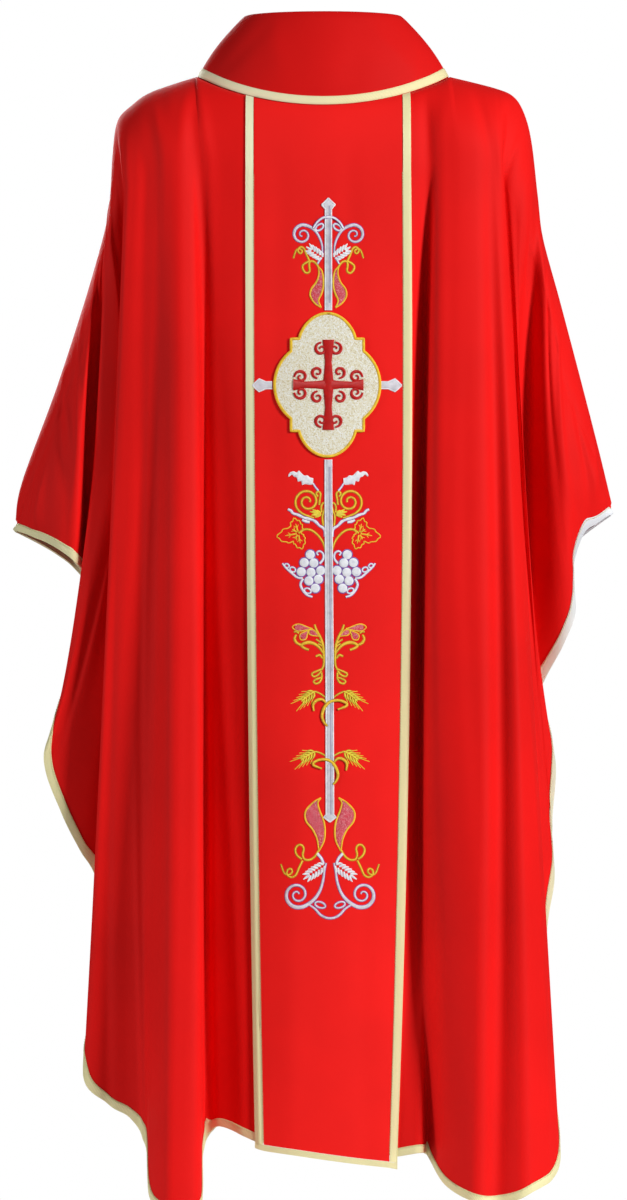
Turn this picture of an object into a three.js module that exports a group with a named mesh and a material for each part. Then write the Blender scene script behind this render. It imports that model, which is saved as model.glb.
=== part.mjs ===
// A red chasuble, filled out as worn, with an applied centre column on its back. Millimetres, +Z up.
// X runs to the right of someone who looks at the back, -Y is the back, +Y is the front.
// The origin is the middle of the neck at the height of the shoulders, where a wearer holds it up.
import * as THREE from "three";

// Cloth and trim
const CLOTH = 1.8;
const GAP = 0.3;
const TRIM = 0.8;
const BINDING_WIDTH = 9;
const BINDING_EASE = 0.3;
const LEAST_SLANT = 0.35;
const ORPHREY_CLOTH = 1.2;

// Neckline, which the collar stands on
const NECK_CENTRE_X = -7;
const NECK_HALF_WIDTH = 154;
const NECK_CURVE = 0.85;

// Collar, from its foot to its rolled top edge
const COLLAR_TOP = { halfWidth: 97, back: 62, front: 72, z: 73 };
const COLLAR_FOOT_WALL = 3;
const COLLAR_TOP_WALL = 6;
const COLLAR_BULGE = 5;
const COLLAR_INSET = 1.6;
const COLLAR_STEPS = 48;
const COLLAR_OUTER_HEIGHTS = [0, 0.25, 0.5, 0.75, 0.94];
const COLLAR_INNER_HEIGHTS = [0.94, 0.6, 0.3, 0];
const COLLAR_ROLL_SHARES = [0.2, 0.5, 0.8];
const COLLAR_ROLL_RISE = 0.02;
const NECK_BINDING = { from: 1, to: 11 };

// How the cloth turns over the shoulders and arms before it hangs
const ROLL_HEIGHT = 95;
const ROLL_SHARE = 0.3;

// The line where back and front are joined, from the neck over the shoulder and down the arm to the cuff
const LEFT_SHOULDER = [
  { x: -161, z: 0 },
  { x: -215, z: -18 },
  { x: -239, z: -34 },
  { x: -257, z: -54 },
  { x: -263, z: -96 },
  { x: -266, z: -156 },
  { x: -287, z: -240 },
  { x: -329, z: -372 },
  { x: -373, z: -492 },
  { x: -381, z: -538 },
];
const RIGHT_SHOULDER = [
  { x: 147, z: 0 },
  { x: 203, z: -14 },
  { x: 226, z: -25 },
  { x: 239, z: -48 },
  { x: 247, z: -82 },
  { x: 254, z: -144 },
  { x: 260, z: -194 },
  { x: 281, z: -272 },
  { x: 304, z: -359 },
  { x: 328, z: -452 },
  { x: 344, z: -518 },
];

// Each row is a fold line that hangs from the top line. top is its place there, measured along the line
// from the middle of the neck. x and depth are its place at the chest, half way down and at its end, and
// depth is counted outwards from the plane of the shoulders.
const COLUMNS = ["top", "chestX", "chestDepth", "midX", "midDepth", "endX", "endDepth", "endZ"];
const BACK_LINES = [
  // left sleeve, from the cuff
  [-770, -379, 4, -380, 6, -383, 8, -550],
  [-690, -361, 30, -361, 42, -358, 40, -558],
  [-600, -335, 46, -338, 60, -338, 58, -567],
  [-510, -310, 56, -317, 72, -320, 68, -578],
  [-430, -290, 62, -299, 78, -306, 66, -590],
  // narrow roll that flares out into the side edge
  [-382, -279, 56, -290, 52, -293, 38, -612],
  [-366, -275, 55, -276, 48, -288, 42, -682],
  [-354, -272, 60, -283, 58, -305, 46, -732],
  [-342, -269, 68, -286, 73, -329, 58, -780],
  [-328, -264, 74, -258, 78, -343, 58, -832],
  [-312, -260, 73, -256, 68, -322, 62, -893],
  [-298, -255, 73, -250, 64, -300, 62, -937],
  [-284, -250, 72, -242, 58, -280, 58, -973],
  [-272, -245, 74, -238, 56, -262, 60, -1060],
  // broad left fold
  [-262, -247, 86, -268, 92, -295, 94, -1199],
  [-245, -234, 94, -258, 102, -266, 104, -1240],
  [-230, -222, 97, -238, 106, -238, 110, -1257],
  [-214, -210, 99, -223, 110, -219, 122, -1288],
  // round fold beside the centre
  [-200, -200, 102, -209, 119, -214, 150, -1347],
  [-187, -188, 108, -191, 143, -195, 188, -1362],
  [-174, -176, 108, -170, 146, -172, 190, -1364],
  [-162, -162, 106, -153, 134, -153, 172, -1358],
  [-150, -153, 92, -151, 82, -152, 92, -1300],
  [-134, -140, 94, -137, 92, -135, 95, -1268],
  // centre, under the orphrey and its bands
  [-93, -100, 108, -97, 108, -88, 122, -1284],
  [-83, -90, 109, -87, 110, -78, 124, -1286],
  [-38, -45, 112, -45, 117, -40, 129, -1290],
  [7, 0, 113, 0, 119, -3, 131, -1294],
  [52, 45, 112, 45, 117, 36, 129, -1298],
  [95, 88, 110, 86, 111, 72, 124, -1301],
  [105, 98, 109, 96, 108, 82, 120, -1302],
  // deep valley and broad right fold
  [114, 110, 105, 104, 92, 97, 126, -1299],
  [123, 121, 99, 111, 86, 111, 128, -1297],
  [134, 132, 100, 120, 127, 119, 101, -1303],
  [150, 152, 105, 142, 142, 139, 142, -1334],
  [172, 175, 102, 184, 146, 172, 178, -1351],
  [186, 190, 96, 204, 129, 202, 168, -1354],
  [199, 200, 92, 226, 134, 238, 178, -1342],
  [214, 208, 86, 243, 98, 276, 124, -1308],
  // layer behind it, down to the right side edge
  [230, 206, 74, 234, 62, 262, 84, -1190],
  [250, 213, 72, 236, 54, 262, 56, -1044],
  [270, 219, 72, 241, 56, 272, 42, -973],
  [288, 226, 70, 239, 54, 269, 36, -912],
  [304, 233, 68, 236, 52, 274, 31, -836],
  [322, 241, 62, 233, 42, 263, 22, -784],
  [345, 249, 54, 243, 28, 256, 14, -746],
  // right sleeve, to the cuff
  [390, 261, 60, 262, 58, 284, 28, -689],
  [450, 273, 58, 278, 64, 298, 30, -649],
  [530, 291, 52, 296, 54, 295, 26, -600],
  [620, 314, 38, 317, 42, 308, 28, -556],
  [685, 330, 22, 331, 26, 327, 20, -541],
  [745, 343, 5, 344, 8, 345, 10, -530],
];
const FRONT_LINES = [
  // left sleeve and side edge
  [-770, -379, 4, -380, 6, -382, 8, -552],
  [-690, -360, 28, -359, 40, -355, 40, -566],
  [-600, -334, 44, -335, 58, -332, 58, -580],
  [-510, -308, 56, -312, 70, -312, 66, -596],
  [-420, -285, 64, -290, 78, -296, 62, -620],
  [-370, -272, 66, -277, 70, -284, 48, -680],
  [-330, -264, 72, -268, 72, -292, 52, -770],
  [-300, -256, 78, -266, 84, -284, 66, -860],
  [-280, -248, 80, -256, 78, -262, 60, -960],
  [-262, -242, 84, -262, 96, -276, 84, -1080],
  // hanging folds
  [-242, -230, 92, -248, 116, -262, 120, -1180],
  [-220, -212, 97, -222, 110, -226, 128, -1215],
  [-196, -194, 101, -196, 120, -204, 150, -1228],
  [-172, -172, 104, -168, 136, -172, 172, -1236],
  [-146, -146, 106, -140, 122, -138, 138, -1240],
  [-112, -112, 112, -106, 120, -102, 132, -1244],
  [-74, -76, 118, -72, 136, -66, 160, -1248],
  [-36, -40, 120, -36, 128, -34, 140, -1250],
  [0, -6, 122, -4, 132, -4, 150, -1252],
  [30, 26, 121, 28, 130, 26, 142, -1252],
  [62, 58, 119, 58, 138, 56, 160, -1251],
  [98, 94, 114, 92, 122, 90, 136, -1248],
  [132, 130, 108, 126, 122, 126, 136, -1244],
  [158, 152, 105, 152, 138, 158, 174, -1240],
  [182, 172, 103, 180, 124, 190, 156, -1234],
  [206, 190, 99, 204, 110, 214, 130, -1222],
  [228, 208, 94, 226, 114, 246, 124, -1190],
  // right side edge and sleeve
  [248, 222, 86, 240, 94, 256, 88, -1100],
  [265, 230, 80, 238, 76, 244, 60, -1000],
  [285, 238, 78, 242, 80, 252, 62, -900],
  [310, 244, 72, 246, 72, 256, 52, -800],
  [350, 252, 66, 254, 66, 258, 46, -710],
  [400, 262, 62, 266, 74, 268, 58, -640],
  [480, 278, 56, 283, 68, 282, 62, -600],
  [560, 298, 46, 300, 56, 297, 52, -575],
  [640, 318, 34, 319, 42, 312, 36, -556],
  [745, 343, 5, 344, 8, 344, 10, -532],
];

// The two panels. side is the sign of Y on which a panel lies.
const BACK = {
  side: -1,
  lines: BACK_LINES,
  neckDepth: 95,
  neckDrop: 41,
  steps: 2,
  rollRows: 4,
  fallRows: 11,
};
const FRONT = {
  side: 1,
  lines: FRONT_LINES,
  neckDepth: 105,
  neckDrop: 62,
  steps: 1,
  rollRows: 4,
  fallRows: 8,
};

// Fold lines of the back between which the centre column and its bands lie
const LINE_LEFT_BAND = 24;
const LINE_RIGHT_BAND = 29;
const BAND_WIDTH = 10;
const ORPHREY_LEFT_DROP = 1;
const ORPHREY_RIGHT_DROP = 9;
const BAND_HEM_HEIGHT = 7.5;
const ORPHREY_TOP = -0.88;

// The cross on the centre column. z is counted down from the shoulders.
const CROSS_X = 0;
const MEDALLION = { x: -2, z: -378, halfWidth: 64, halfHeight: 87 };
const MEDALLION_STEP = { inner: 34, outer: 44, upper: 56, lower: 41 };
const MEDALLION_STEPS = 4;
const MEDALLION_SHARES = [0.4, 0.75, 1];
const STAFF_WIDTH = 10;
const STAFF_TIP = 16;
const STAFF_TIP_FLARE = 3;
const STAFF_POINT = 0.6;
const STAFF_THICK = 1;
const STAFF_SPACING = 60;
const PLATE_THICK = 1.4;
const PLATE_GAP = 0.5;
const UPPER_STAFF = { from: -156, to: -289 };
const LOWER_STAFF = { from: -467, to: -901 };
const ARM_Z = -379;
const LEFT_ARM = { from: -67, to: -90 };
const RIGHT_ARM = { from: 63, to: 88 };

// Colours, roughness and metalness
const RED_CLOTH = { color: 0xd9191b, roughness: 0.55, metalness: 0 };
const RED_ORPHREY = { color: 0xdf1d1e, roughness: 0.45, metalness: 0 };
const GOLD_BINDING = { color: 0xddd196, roughness: 0.5, metalness: 0.1 };
const GLITTER_CLOTH = { color: 0xded4be, roughness: 0.6, metalness: 0.2 };
const SILVER_THREAD = { color: 0xd4d2da, roughness: 0.4, metalness: 0.2 };

function mix(a, b, share) {
  return a + (b - a) * share;
}

// A smooth value between b and c, with a and d as their outer neighbours
function smooth(a, b, c, d, t) {
  return b + 0.5 * t * (c - a + t * (2 * a - 5 * b + 4 * c - d + t * (3 * (b - c) + d - a)));
}

function neighbours(rows, at) {
  const i = Math.min(Math.max(Math.floor(at), 0), rows.length - 2);
  const last = rows.length - 1;
  return { t: at - i, four: [rows[Math.max(i - 1, 0)], rows[i], rows[i + 1], rows[Math.min(i + 2, last)]] };
}

function foldLine(panel, at) {
  const { t, four } = neighbours(panel.lines, at);
  const values = COLUMNS.map((_, c) => smooth(four[0][c], four[1][c], four[2][c], four[3][c], t));
  return Object.fromEntries(COLUMNS.map((name, c) => [name, values[c]]));
}

function onShoulder(points, distance) {
  let left = distance;
  let i = 0;
  let length = 0;
  for (; i < points.length - 1; i++) {
    length = Math.hypot(points[i + 1].x - points[i].x, points[i + 1].z - points[i].z);
    if (left <= length || i === points.length - 2) break;
    left -= length;
  }
  const { t, four } = neighbours(points, i + Math.min(left / length, 1));
  const at = (name) => smooth(four[0][name], four[1][name], four[2][name], four[3][name], t);
  return { x: at("x"), depth: 0, z: at("z") };
}

// The point of the top line at a place along it: on the neckline, or out on the shoulder and arm
function topPoint(panel, place) {
  const beyond = Math.abs(place) - NECK_HALF_WIDTH;
  if (beyond >= 0) return onShoulder(place < 0 ? LEFT_SHOULDER : RIGHT_SHOULDER, beyond);
  const share = 1 - (place / NECK_HALF_WIDTH) ** 2;
  return {
    x: NECK_CENTRE_X + place,
    depth: panel.neckDepth * Math.sqrt(share),
    z: -panel.neckDrop * share ** NECK_CURVE,
  };
}

// A point of a panel's outer face. t is -1 on the top line, 0 where the cloth has turned over the shoulder,
// 1 on the lower edge.
function clothPoint(panel, at, t) {
  const line = foldLine(panel, at);
  const top = topPoint(panel, line.top);
  const roll = Math.min(ROLL_HEIGHT, ROLL_SHARE * (top.z - line.endZ));
  let x, depth, z;
  if (t < 0) {
    const turn = ((t + 1) * Math.PI) / 2;
    x = mix(top.x, line.chestX, 1 - Math.cos(turn));
    depth = mix(top.depth, line.chestDepth, Math.sin(turn));
    z = top.z - roll * (1 - Math.cos(turn));
  } else {
    const [start, middle, end] = [(1 - t) * (1 - 2 * t), 4 * t * (1 - t), t * (2 * t - 1)];
    x = start * line.chestX + middle * line.midX + end * line.endX;
    depth = start * line.chestDepth + middle * line.midDepth + end * line.endDepth;
    z = mix(top.z - roll, line.endZ, t);
  }
  return new THREE.Vector3(x, panel.side * (depth + GAP / 2), z);
}

// The outward normal of a panel's outer face
function clothNormal(panel, at, t) {
  const step = 1e-3;
  const last = panel.lines.length - 1;
  const across = clothPoint(panel, Math.min(at + step, last), t);
  across.sub(clothPoint(panel, Math.max(at - step, 0), t));
  const down = clothPoint(panel, at, t + step).sub(clothPoint(panel, at, t));
  return across.cross(down).normalize().multiplyScalar(panel.side);
}

// The direction of a panel's lower edge, between the points on either side
function edgeDirection(panel, at) {
  const step = 1 / panel.steps;
  const last = panel.lines.length - 1;
  const along = clothPoint(panel, Math.min(at + step, last), 1);
  return along.sub(clothPoint(panel, Math.max(at - step, 0), 1)).normalize();
}

// Where a binding's upper rim runs, so that it is as wide across a slanting edge as across a level one
function rimPlace(panel, at) {
  const end = clothPoint(panel, at, 1);
  const along = edgeDirection(panel, at);
  const start = clothPoint(panel, at, 0);
  const fall = end.distanceTo(start);
  const down = end.clone().sub(clothPoint(panel, at, 0.98)).normalize();
  const slant = Math.max(down.cross(along).length(), LEAST_SLANT);
  return 1 - Math.min(BINDING_WIDTH / slant / fall, 0.6);
}

function columnsOf(panel, first, last) {
  const count = (last - first) * panel.steps;
  return Array.from({ length: count + 1 }, (_, i) => first + i / panel.steps);
}

// The heights of a panel's points in one column, from the top line to the lower edge
function rowsOf(panel, at) {
  const roll = Array.from({ length: panel.rollRows }, (_, i) => i / panel.rollRows - 1);
  const rim = rimPlace(panel, at);
  const fall = Array.from({ length: panel.fallRows + 1 }, (_, i) => (rim * i) / panel.fallRows);
  return [...roll, ...fall, 1];
}

// A mesh from points and faces, turned so that its faces point out
function solid(name, points, faces, finish) {
  let volume = 0;
  for (const [a, b, c] of faces)
    volume += points[a].dot(new THREE.Vector3().crossVectors(points[b], points[c]));
  const turned = volume < 0 ? faces.map(([a, b, c]) => [a, c, b]) : faces;
  const geometry = new THREE.BufferGeometry();
  geometry.setFromPoints(points);
  geometry.setIndex(turned.flat());
  geometry.computeVertexNormals();
  const mesh = new THREE.Mesh(geometry, new THREE.MeshStandardMaterial(finish));
  mesh.name = name;
  return mesh;
}

// A wall between two grids of points, each a list of columns
function wall(name, outer, inner, finish) {
  const rows = outer[0].length;
  const columns = outer.length;
  const points = [...outer.flat(), ...inner.flat()];
  const faces = [];
  const quad = (a, b, c, d) => faces.push([a, b, c], [a, c, d]);
  const out = (i, j) => i * rows + j;
  const back = (i, j) => columns * rows + i * rows + j;
  for (let i = 0; i < columns - 1; i++) {
    for (let j = 0; j < rows - 1; j++) {
      quad(out(i, j), out(i + 1, j), out(i + 1, j + 1), out(i, j + 1));
      quad(back(i, j), back(i, j + 1), back(i + 1, j + 1), back(i + 1, j));
    }
    quad(out(i + 1, 0), out(i, 0), back(i, 0), back(i + 1, 0));
    quad(out(i, rows - 1), out(i + 1, rows - 1), back(i + 1, rows - 1), back(i, rows - 1));
  }
  for (let j = 0; j < rows - 1; j++) {
    quad(out(0, j), out(0, j + 1), back(0, j + 1), back(0, j));
    quad(out(columns - 1, j + 1), out(columns - 1, j), back(columns - 1, j), back(columns - 1, j + 1));
  }
  return solid(name, points, faces, finish);
}

// A body through rings of points. A chain of rings is capped by the quads that caps lists, or is closed
// on itself when there are none. crossed names the sides whose quads are split the other way.
function loft(name, rings, caps, finish, crossed = []) {
  const size = rings[0].length;
  const faces = [];
  const spans = caps ? rings.length - 1 : rings.length;
  for (let i = 0; i < spans; i++) {
    const next = (i + 1) % rings.length;
    for (let j = 0; j < size; j++) {
      const k = (j + 1) % size;
      const [a, b, c, d] = [i * size + j, i * size + k, next * size + k, next * size + j];
      if (crossed.includes(j)) faces.push([a, b, d], [b, c, d]);
      else faces.push([a, b, c], [a, c, d]);
    }
  }
  const last = (rings.length - 1) * size;
  for (const [a, b, c, d] of caps ?? []) {
    faces.push([a, c, b], [a, d, c]);
    faces.push([last + a, last + b, last + c], [last + a, last + c, last + d]);
  }
  return solid(name, rings.flat(), faces, finish);
}

function moved(point, direction, distance) {
  return point.clone().addScaledVector(direction, distance);
}

// A layer on a panel's outer face, between two distances from it, through the panel's own points. A place
// over 1 lies that many millimetres further down than the lower edge.
function layerOn(panel, name, columns, placesOf, low, high, finish) {
  const grid = (distance) =>
    columns.map((at) =>
      placesOf(at).map((t) => {
        const held = Math.min(t, 1);
        const point = moved(clothPoint(panel, at, held), clothNormal(panel, at, held), distance);
        return t > 1 ? moved(point, new THREE.Vector3(0, 0, -1), t - 1) : point;
      }),
    );
  return wall(name, grid(high), grid(low), finish);
}

function panelSolid(panel, name) {
  const columns = columnsOf(panel, 0, panel.lines.length - 1);
  return layerOn(panel, name, columns, (at) => rowsOf(panel, at), -CLOTH, 0, RED_CLOTH);
}

// A folded binding over a panel's lower edge: one leaf outside, a turn under the edge, one leaf inside
function edgeBinding(panel, name, first, last) {
  const near = BINDING_EASE;
  const far = BINDING_EASE + TRIM;
  const rings = columnsOf(panel, first, last).map((at) => {
    const place = rimPlace(panel, at);
    const rim = clothPoint(panel, at, place);
    const rimOut = clothNormal(panel, at, place);
    const edge = clothPoint(panel, at, 1);
    const edgeOut = clothNormal(panel, at, 1);
    const down = edgeDirection(panel, at).cross(edgeOut).multiplyScalar(-panel.side).normalize();
    const under = (out, distance) => moved(moved(edge, edgeOut, out), down, distance);
    return [
      moved(rim, rimOut, near),
      moved(rim, rimOut, far),
      under(far, GAP + TRIM),
      under(-CLOTH - far, GAP + TRIM),
      moved(rim, rimOut, -CLOTH - far),
      moved(rim, rimOut, -CLOTH - near),
      under(-CLOTH - near, GAP),
      under(near, GAP),
    ];
  });
  const caps = [
    [0, 1, 2, 7],
    [7, 2, 3, 6],
    [6, 3, 4, 5],
  ];
  return loft(name, rings, caps, GOLD_BINDING, [3, 6, 7]);
}

// A point of the collar's outer face. turn goes round the neck, height is 0 at the foot and 1 at the top.
function collarPoint(turn, height, inward) {
  const [c, s] = [Math.cos(turn), Math.sin(turn)];
  const panel = s > 0 ? FRONT : BACK;
  const foot = {
    x: NECK_HALF_WIDTH - COLLAR_INSET - inward,
    y: panel.neckDepth - COLLAR_INSET - inward,
    z: -panel.neckDrop * (s * s) ** NECK_CURVE,
  };
  const top = {
    x: COLLAR_TOP.halfWidth - inward,
    y: (s > 0 ? COLLAR_TOP.front : COLLAR_TOP.back) - inward,
    z: COLLAR_TOP.z,
  };
  const bulge = COLLAR_BULGE * Math.sin(Math.PI * height);
  return new THREE.Vector3(
    NECK_CENTRE_X + c * (mix(foot.x, top.x, height) + bulge),
    s * (mix(foot.y, top.y, height) + bulge),
    mix(foot.z, top.z, height),
  );
}

function roundNeck(sectionOf) {
  return Array.from({ length: COLLAR_STEPS }, (_, i) => sectionOf((2 * Math.PI * i) / COLLAR_STEPS));
}

function collarSolid() {
  const rings = roundNeck((turn) => {
    const outer = COLLAR_OUTER_HEIGHTS.map((height) => collarPoint(turn, height, 0));
    const roll = COLLAR_ROLL_SHARES.map((share) =>
      collarPoint(turn, 1 + COLLAR_ROLL_RISE * Math.sin(Math.PI * share), share * COLLAR_TOP_WALL),
    );
    const inner = COLLAR_INNER_HEIGHTS.map((height) =>
      collarPoint(turn, height, mix(COLLAR_FOOT_WALL, COLLAR_TOP_WALL, height)),
    );
    return [...outer, ...roll, ...inner];
  });
  return loft("collar", rings, null, RED_CLOTH);
}

function neckBindingSolid() {
  const near = -GAP;
  const far = -GAP - TRIM;
  const rings = roundNeck((turn) => {
    const rise = COLLAR_TOP.z - collarPoint(turn, 0, 0).z;
    const [low, high] = [NECK_BINDING.from / rise, NECK_BINDING.to / rise];
    return [
      collarPoint(turn, low, near),
      collarPoint(turn, high, near),
      collarPoint(turn, high, far),
      collarPoint(turn, low, far),
    ];
  });
  return loft("binding_neck", rings, null, GOLD_BINDING);
}

// The centre column, its two side bands and the band across its foot
function orphreyPieces() {
  const drop = (at) => {
    const share = (at - LINE_LEFT_BAND) / (LINE_RIGHT_BAND + 1 - LINE_LEFT_BAND);
    return mix(ORPHREY_LEFT_DROP, ORPHREY_RIGHT_DROP, share);
  };
  const full = (at) => [ORPHREY_TOP, ...rowsOf(BACK, at).slice(1), 1 + drop(at)];
  const foot = (at) => [1 + drop(at) + GAP, 1 + drop(at) + BAND_HEM_HEIGHT];
  const inset = GAP / BAND_WIDTH;
  const between = columnsOf(BACK, LINE_LEFT_BAND + 1, LINE_RIGHT_BAND);
  const leftBand = columnsOf(BACK, LINE_LEFT_BAND, LINE_LEFT_BAND + 1);
  const rightBand = columnsOf(BACK, LINE_RIGHT_BAND, LINE_RIGHT_BAND + 1);
  const apart = (columns, left, right) => [
    columns[0] + left,
    ...columns.slice(1, -1),
    columns.at(-1) - right,
  ];
  const across = columnsOf(BACK, LINE_LEFT_BAND, LINE_RIGHT_BAND + 1);
  const bandTop = GAP + ORPHREY_CLOTH + TRIM / 2;
  return [
    layerOn(BACK, "orphrey", between, full, GAP, GAP + ORPHREY_CLOTH, RED_ORPHREY),
    layerOn(BACK, "band_left", apart(leftBand, 0, inset), full, GAP, bandTop, GOLD_BINDING),
    layerOn(BACK, "band_right", apart(rightBand, inset, 0), full, GAP, bandTop, GOLD_BINDING),
    layerOn(BACK, "band_hem", across, foot, GAP, bandTop, GOLD_BINDING),
  ];
}

// The point of the centre column's face over a place of the back, seen square on, found by steps that
// each correct what is left in x and z
function orphreySpot(x, z, height) {
  const step = 0.01;
  let at = (LINE_LEFT_BAND + LINE_RIGHT_BAND + 1) / 2;
  let t = 0.2;
  for (let round = 0; round < 12; round++) {
    const here = clothPoint(BACK, at, t);
    at += ((x - here.x) * step) / (clothPoint(BACK, at + step, t).x - here.x);
    t += ((z - here.z) * step) / (clothPoint(BACK, at, t + step).z - here.z);
  }
  return moved(clothPoint(BACK, at, t), clothNormal(BACK, at, t), GAP + ORPHREY_CLOTH + height);
}

// The medallion's outline: pointed arches at the top and foot, round lobes at the sides, and square steps
// between them
function medallionOutline() {
  const { x, z, halfWidth, halfHeight } = MEDALLION;
  const { inner, outer, upper, lower } = MEDALLION_STEP;
  const shares = Array.from({ length: MEDALLION_STEPS + 1 }, (_, i) => i / MEDALLION_STEPS);
  const arch = shares.map((share) => [inner * share, mix(halfHeight, upper, share ** 2)]);
  const bulge = halfWidth - outer;
  const radius = (lower ** 2 + bulge ** 2) / (2 * bulge);
  const reach = Math.asin(lower / radius);
  const lobe = shares.map((share) => {
    const turn = reach * (1 - share);
    return [halfWidth - radius * (1 - Math.cos(turn)), radius * Math.sin(turn)];
  });
  const quarter = [...arch, [outer, upper], ...lobe];
  const right = [...quarter, ...quarter.slice(0, -1).reverse().map(([w, h]) => [w, -h])];
  const left = right.slice(1, -1).reverse().map(([w, h]) => [-w, h]);
  return [...right, ...left].map(([w, h]) => [x + w, z + h]);
}

// A plate on the centre column, as spokes from its middle to its outline
function medallionSolid() {
  const middle = (height) => orphreySpot(MEDALLION.x, MEDALLION.z, height);
  const spokes = (height) =>
    medallionOutline().map(([x, z]) =>
      MEDALLION_SHARES.map((share) =>
        orphreySpot(mix(MEDALLION.x, x, share), mix(MEDALLION.z, z, share), height),
      ),
    );
  const outer = spokes(PLATE_GAP + PLATE_THICK);
  const inner = spokes(PLATE_GAP);
  const size = MEDALLION_SHARES.length;
  const points = [middle(PLATE_GAP + PLATE_THICK), middle(PLATE_GAP), ...outer.flat(), ...inner.flat()];
  const faces = [];
  for (let i = 0; i < outer.length; i++) {
    const next = (i + 1) % outer.length;
    const [a, b] = [2 + i * size, 2 + next * size];
    const [c, d] = [a + outer.length * size, b + outer.length * size];
    const rim = size - 1;
    faces.push([0, a, b], [1, d, c]);
    for (let j = 0; j < rim; j++) {
      faces.push([a + j, a + j + 1, b + j + 1], [a + j, b + j + 1, b + j]);
      faces.push([c + j, d + j + 1, c + j + 1], [c + j, d + j, d + j + 1]);
    }
    faces.push([b + rim, a + rim, c + rim], [b + rim, c + rim, d + rim]);
  }
  return solid("medallion", points, faces, GLITTER_CLOTH);
}

// A raised satin bar on the centre column, with a diamond tip at its far end
function bar(name, placeOf, from, to) {
  const length = Math.abs(to - from);
  const half = STAFF_WIDTH / 2;
  const neck = length - STAFF_TIP;
  const straight = Array.from({ length: Math.ceil(neck / STAFF_SPACING) }, (_, i) => i * STAFF_SPACING);
  const sections = [...straight, neck].map((along) => ({ along, reach: half }));
  sections.push({ along: neck + 1, reach: half + STAFF_TIP_FLARE }, { along: length, reach: STAFF_POINT });
  const towards = Math.sign(to - from);
  const grid = (height) =>
    sections.map(({ along, reach }) =>
      [-reach, 0, reach].map((across) => {
        const [x, z] = placeOf(from + towards * along, across);
        return orphreySpot(x, z, height);
      }),
    );
  return wall(name, grid(PLATE_GAP + STAFF_THICK), grid(PLATE_GAP), SILVER_THREAD);
}

function crossPieces() {
  const upright = (z, across) => [CROSS_X + across, z];
  const level = (x, across) => [x, ARM_Z + across];
  return [
    medallionSolid(),
    bar("staff_upper", upright, UPPER_STAFF.to, UPPER_STAFF.from),
    bar("staff_lower", upright, LOWER_STAFF.from, LOWER_STAFF.to),
    bar("arm_left", level, LEFT_ARM.from, LEFT_ARM.to),
    bar("arm_right", level, RIGHT_ARM.from, RIGHT_ARM.to),
  ];
}

const chasuble = new THREE.Group();
chasuble.add(
  panelSolid(BACK, "panel_back"),
  panelSolid(FRONT, "panel_front"),
  edgeBinding(BACK, "binding_back_left", 0, LINE_LEFT_BAND),
  edgeBinding(BACK, "binding_back_right", LINE_RIGHT_BAND + 1, BACK_LINES.length - 1),
  edgeBinding(FRONT, "binding_front", 0, FRONT_LINES.length - 1),
  collarSolid(),
  neckBindingSolid(),
  ...orphreyPieces(),
  ...crossPieces(),
);
export default chasuble;
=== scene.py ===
"""The looks of a red chasuble, filled out as worn and seen from its back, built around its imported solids.

+Z is up, +X is to the right of someone who looks at the back, and the back faces -Y. The tables hold
millimetres, and MM turns them into the frame's metres.
"""

import math

import bpy
import numpy as np
from bpy.props import FloatProperty, FloatVectorProperty, PointerProperty
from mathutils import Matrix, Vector


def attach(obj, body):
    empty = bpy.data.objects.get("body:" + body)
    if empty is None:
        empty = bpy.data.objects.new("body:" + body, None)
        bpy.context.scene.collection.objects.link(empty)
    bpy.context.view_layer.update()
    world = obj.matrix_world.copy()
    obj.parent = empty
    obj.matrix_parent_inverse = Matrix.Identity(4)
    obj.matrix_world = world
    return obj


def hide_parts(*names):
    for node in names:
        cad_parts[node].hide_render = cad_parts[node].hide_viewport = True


bl_info = {
    "name": "Chasuble",
    "version": (1, 0, 0),
    "blender": (4, 5, 0),
    "location": "View3D > Sidebar > Chasuble",
    "description": "Makes the cloth, bindings and needlework of a red chasuble around its solids",
    "category": "Object",
}

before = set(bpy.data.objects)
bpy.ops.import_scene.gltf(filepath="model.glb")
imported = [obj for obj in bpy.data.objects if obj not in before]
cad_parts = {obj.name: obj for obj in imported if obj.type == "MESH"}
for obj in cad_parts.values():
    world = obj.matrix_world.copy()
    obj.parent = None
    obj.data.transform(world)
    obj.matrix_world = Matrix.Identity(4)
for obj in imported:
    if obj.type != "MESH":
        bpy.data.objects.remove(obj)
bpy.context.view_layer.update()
MM = 0.001

# Cloth and trim
CLOTH = 1.8
GAP = 0.3
TRIM = 0.8
BINDING_WIDTH = 9
BINDING_EASE = 0.3
BINDING_SWELL = 0.12
LEAST_SLANT = 0.35
LONGEST_BINDING = 0.6
ORPHREY_CLOTH = 1.2
BAND_THICK = 1.6

# Neckline and collar. The neckline's depth and its drop below the shoulders differ at back and front.
BACK_NECK = (95, 41)
FRONT_NECK = (105, 62)
NECK_CENTRE_X = -7
NECK_HALF_WIDTH = 154
NECK_CURVE = 0.85
COLLAR_TOP = {"half_width": 97, "back": 62, "front": 72, "z": 73}
COLLAR_FOOT_WALL = 3
COLLAR_TOP_WALL = 6
COLLAR_BULGE = 5
COLLAR_INSET = 1.6
NECK_BINDING = (1, 11)

# How the cloth turns over the shoulders before it hangs
ROLL_HEIGHT = 95
ROLL_SHARE = 0.3

# The line where back and front are joined, from the neck over the shoulder and down the arm: x and z
LEFT_SHOULDER = np.array([
    (-161, 0), (-215, -18), (-239, -34), (-257, -54), (-263, -96),
    (-266, -156), (-287, -240), (-329, -372), (-373, -492), (-381, -538),
], float)
RIGHT_SHOULDER = np.array([
    (147, 0), (203, -14), (226, -25), (239, -48), (247, -82), (254, -144),
    (260, -194), (281, -272), (304, -359), (328, -452), (344, -518),
], float)

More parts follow.
